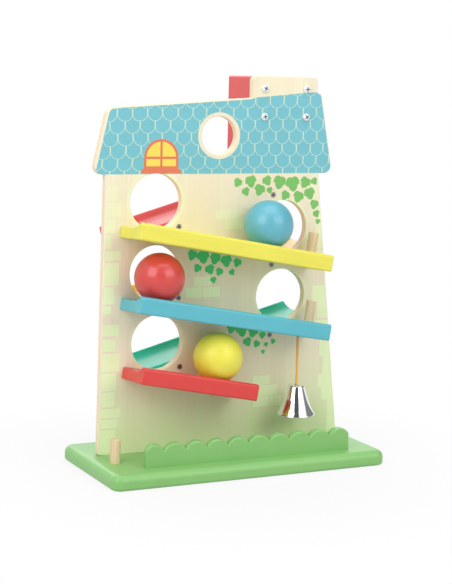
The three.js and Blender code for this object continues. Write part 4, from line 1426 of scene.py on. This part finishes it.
class BALLRUN_OT_screws(BallRunOperator):
    """Turn the white pan heads on the chimney and the bright sunk heads, each with its cross recess painted
    darker as shade.
    """

    bl_idname = "ball_run.screws"
    bl_label = "Screws"

    def make(self, context):
        panel_low, panel_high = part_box("house_panel")
        # Each screw's head finish, then a darker one for its cross recess: painted shade in the recess
        white = (
            steel_finish("white_screw", colours().screw, 0.0, 0.28),
            steel_finish("white_screw_cross", srgb(88, 116, 140), 0.3, 0.40),
        )
        bright = (
            steel_finish("bright_screw", (0.32, 0.32, 0.33), 1.0, 0.30),
            steel_finish("bright_screw_cross", (0.02, 0.02, 0.025), 0.0, 0.60),
        )
        front, rear, below = (
            Matrix.Rotation(turn, 4, "X") for turn in (math.pi / 2, -math.pi / 2, math.pi)
        )
        for i in range(4):
            face = (None, panel_low.y - sizes().seat, None)
            self.make_screw(f"chimney_screw_{i + 1}", PAN_SCREW, front, face, 12 + 27 * i, white)
        rail_sides = (("rear", front, panel_low.y, 20), ("front", rear, panel_high.y, 35))
        for level in LEVELS:
            for i in (1, 2):
                for side, turn, y, spin in rail_sides:
                    name = f"{side}_rail_{level}_screw_{i}"
                    self.make_screw(name, RAIL_SCREW, turn, (None, y, None), spin * i, bright)
        for i in range(len(BASE_SCREW_XS)):
            face = (None, None, 0)
            self.make_screw(f"base_screw_{i + 1}", BASE_SCREW, below, face, 15 + 40 * i, bright)

    def make_screw(self, name, kind, turn, face, spin, finishes):
        """Turns one screw, its head on a face or sunk in it, and cuts its cross."""
        low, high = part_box(name)
        radius = (high.x - low.x) / 2
        shank, length, head = (value * MM for value in kind)
        if kind == PAN_SCREW:
            neck = 0
            crown = [(radius * r, head * h) for r, h in PAN_CROWN]
        else:
            neck = -SUNK_BY * MM - head
            crown = [(radius * r, (h - SUNK_BY) * MM) for r, h in SUNK_CROWN]
        middle = [(a + b) / 2 if at is None else at for a, b, at in zip(low, high, face)]
        place = Matrix.Translation(middle) @ turn @ Matrix.Rotation(math.radians(spin), 4, "Z")
        bm = bmesh.new()
        spun(bm, [(0, -length), (shank, 2 * shank - length), (shank, neck), *crown], 40)
        move(bm, place)
        piece = add_piece(f"{name}_head", bm, finishes, replaces=(name,))
        self.cut_cross(piece, place, crown[0][0], crown[-1][1])

    def cut_cross(self, piece, place, radius, top):
        """Cuts the driver's recess, and gives its faces the second finish, a darker colour that paints the
        shade inside the recess.
        """
        depth = CROSS_DEPTH * MM
        arm, half = radius * CROSS_ARM, radius * CROSS_HALF
        corner = ((arm, -half), (arm, half), (half, half))
        quarters = [Matrix.Rotation(i * math.pi / 2, 3, "Z") for i in range(4)]
        bm = bmesh.new()
        flat_face(bm, [turn @ Vector((a, b, top - depth)) for turn in quarters for a, b in corner])
        thicken(bm, (0, 0, depth + 1 * MM))
        move(bm, place)
        carve(piece, bm)
        # The recess faces take the second finish, the painted shade
        for polygon in piece.data.polygons:
            spot = place.inverted() @ polygon.center
            in_arms = math.hypot(spot.x, spot.y) < arm + 0.05 * MM
            sunk = -depth - 0.1 * MM < spot.z - top < -0.2 * MM
            polygon.material_index = 1 if in_arms and sunk else 0


BALL_COATS = {"blue": 0.40, "red": 0.55, "yellow": 0.10}


class BALLRUN_OT_balls(BallRunOperator):
    """Turn the three wooden balls."""

    bl_idname = "ball_run.balls"
    bl_label = "Balls"

    def make(self, context):
        for paint, coat in BALL_COATS.items():
            node = f"ball_{paint}"
            low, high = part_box(node)
            bm = bmesh.new()
            bmesh.ops.create_uvsphere(
                bm, u_segments=72, v_segments=48, radius=sizes().ball_radius,
                matrix=Matrix.Translation((low + high) / 2),
            )
            finish = paint_finish(
                f"{node}_paint", getattr(colours(), node), along=(0, 0, 1),
                gloss=0.44, coat=coat, coat_gloss=0.14,
            )
            add_piece(f"turned_{node}", bm, finish, node, (node,))


# The bell, in millimetres: radius of its flat top, rounding of its shoulder, wall and the cord's hole
BELL_RADII = (8.0, 2.0, 1.2, 1.7)
BELL_FLARE = (0.78, 0.22)  # shares of an even slope and of the sweep to the rim
BELL_STEPS = 32
CLAPPER_RADIUS, CLAPPER_ROD = 3, 0.8
CLAPPER_STEPS = 14


class BALLRUN_OT_bell(BallRunOperator):
    """Spin the bell and its clapper."""

    bl_idname = "ball_run.bell"
    bl_label = "Bell"

    def make(self, context):
        low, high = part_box("bell")
        middle = Vector(((low.x + high.x) / 2, (low.y + high.y) / 2, high.z))
        height = high.z - low.z
        rim = (high.x - low.x) / 2
        crown, shoulder, wall, eye = (value * MM for value in BELL_RADII)
        skirt = height - shoulder - 0.4 * MM
        outer = []
        for i in range(BELL_STEPS + 1):
            t = i / BELL_STEPS
            widen = BELL_FLARE[0] * t + BELL_FLARE[1] * t ** 4
            outer.append((crown + (rim - crown) * widen, -shoulder - skirt * t))
        brow = [
            (crown - shoulder * (1 - math.sin(angle)), -shoulder * (1 - math.cos(angle)))
            for angle in (0, 0.3, 0.6, 0.9, 1.2)
        ]
        bead = [(rim, -height + 0.2 * MM), (rim - 0.3 * MM, -height), (rim - wall, -height)]
        inner = [(r - wall, min(z, -wall - 0.5 * MM)) for r, z in reversed(outer)]
        profile = [(eye, 0)] + brow + outer + bead + inner + [(eye, -wall), (eye, 0)]
        bm = bmesh.new()
        spun(bm, profile, 96, tuple(middle))
        add_piece("spun_bell", bm, chrome_finish(), "bell", ("bell",), angle=60, even=False)
        self.make_clapper()

    def make_clapper(self):
        low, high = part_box("bell_clapper")
        middle = Vector(((low.x + high.x) / 2, (low.y + high.y) / 2, low.z))
        radius, rod = CLAPPER_RADIUS * MM, CLAPPER_ROD * MM
        last = math.pi - math.asin(rod / radius)
        angles = [last * i / CLAPPER_STEPS for i in range(CLAPPER_STEPS + 1)]
        bulb = [(radius * math.sin(angle), radius - radius * math.cos(angle)) for angle in angles]
        height = high.z - low.z
        profile = bulb + [(rod, height - 0.3 * MM), (rod - 0.3 * MM, height), (0, height)]
        bm = bmesh.new()
        spun(bm, profile, 32, tuple(middle))
        finish = steel_finish("clapper_steel", (0.62, 0.62, 0.64), 1.0, 0.28)
        add_piece("turned_clapper", bm, finish, "clapper", ("bell_clapper",))


class BALLRUN_PT_sidebar(bpy.types.Panel):
    """Lists the sizes, the colours and the pieces."""

    bl_idname = "BALLRUN_PT_sidebar"
    bl_label = "Ball drop box"
    bl_space_type = "VIEW_3D"
    bl_region_type = "UI"
    bl_category = "Ball drop box"

    def draw(self, context):
        for group in (context.scene.ball_run_sizes, context.scene.ball_run_colours):
            box = self.layout.box()
            for name in group.__annotations__:
                box.prop(group, name)
        for operator in OPERATORS:
            self.layout.operator(operator.bl_idname)


OPERATORS = (
    BALLRUN_OT_stage,
    BALLRUN_OT_cord,
    BALLRUN_OT_base,
    BALLRUN_OT_house,
    BALLRUN_OT_print,
    BALLRUN_OT_rails,
    BALLRUN_OT_chimney,
    BALLRUN_OT_screws,
    BALLRUN_OT_balls,
    BALLRUN_OT_bell,
)
CLASSES = (BallRunSizes, BallRunColours, *OPERATORS, BALLRUN_PT_sidebar)


def register():
    for item in CLASSES:
        bpy.utils.register_class(item)
    bpy.types.Scene.ball_run_sizes = PointerProperty(type=BallRunSizes)
    bpy.types.Scene.ball_run_colours = PointerProperty(type=BallRunColours)


def unregister():
    del bpy.types.Scene.ball_run_colours
    del bpy.types.Scene.ball_run_sizes
    for item in reversed(CLASSES):
        bpy.utils.unregister_class(item)


def main():
    register()
    for operator in OPERATORS:
        group, name = operator.bl_idname.split(".")
        getattr(getattr(bpy.ops, group), name)()


if __name__ == "__main__":
    main()
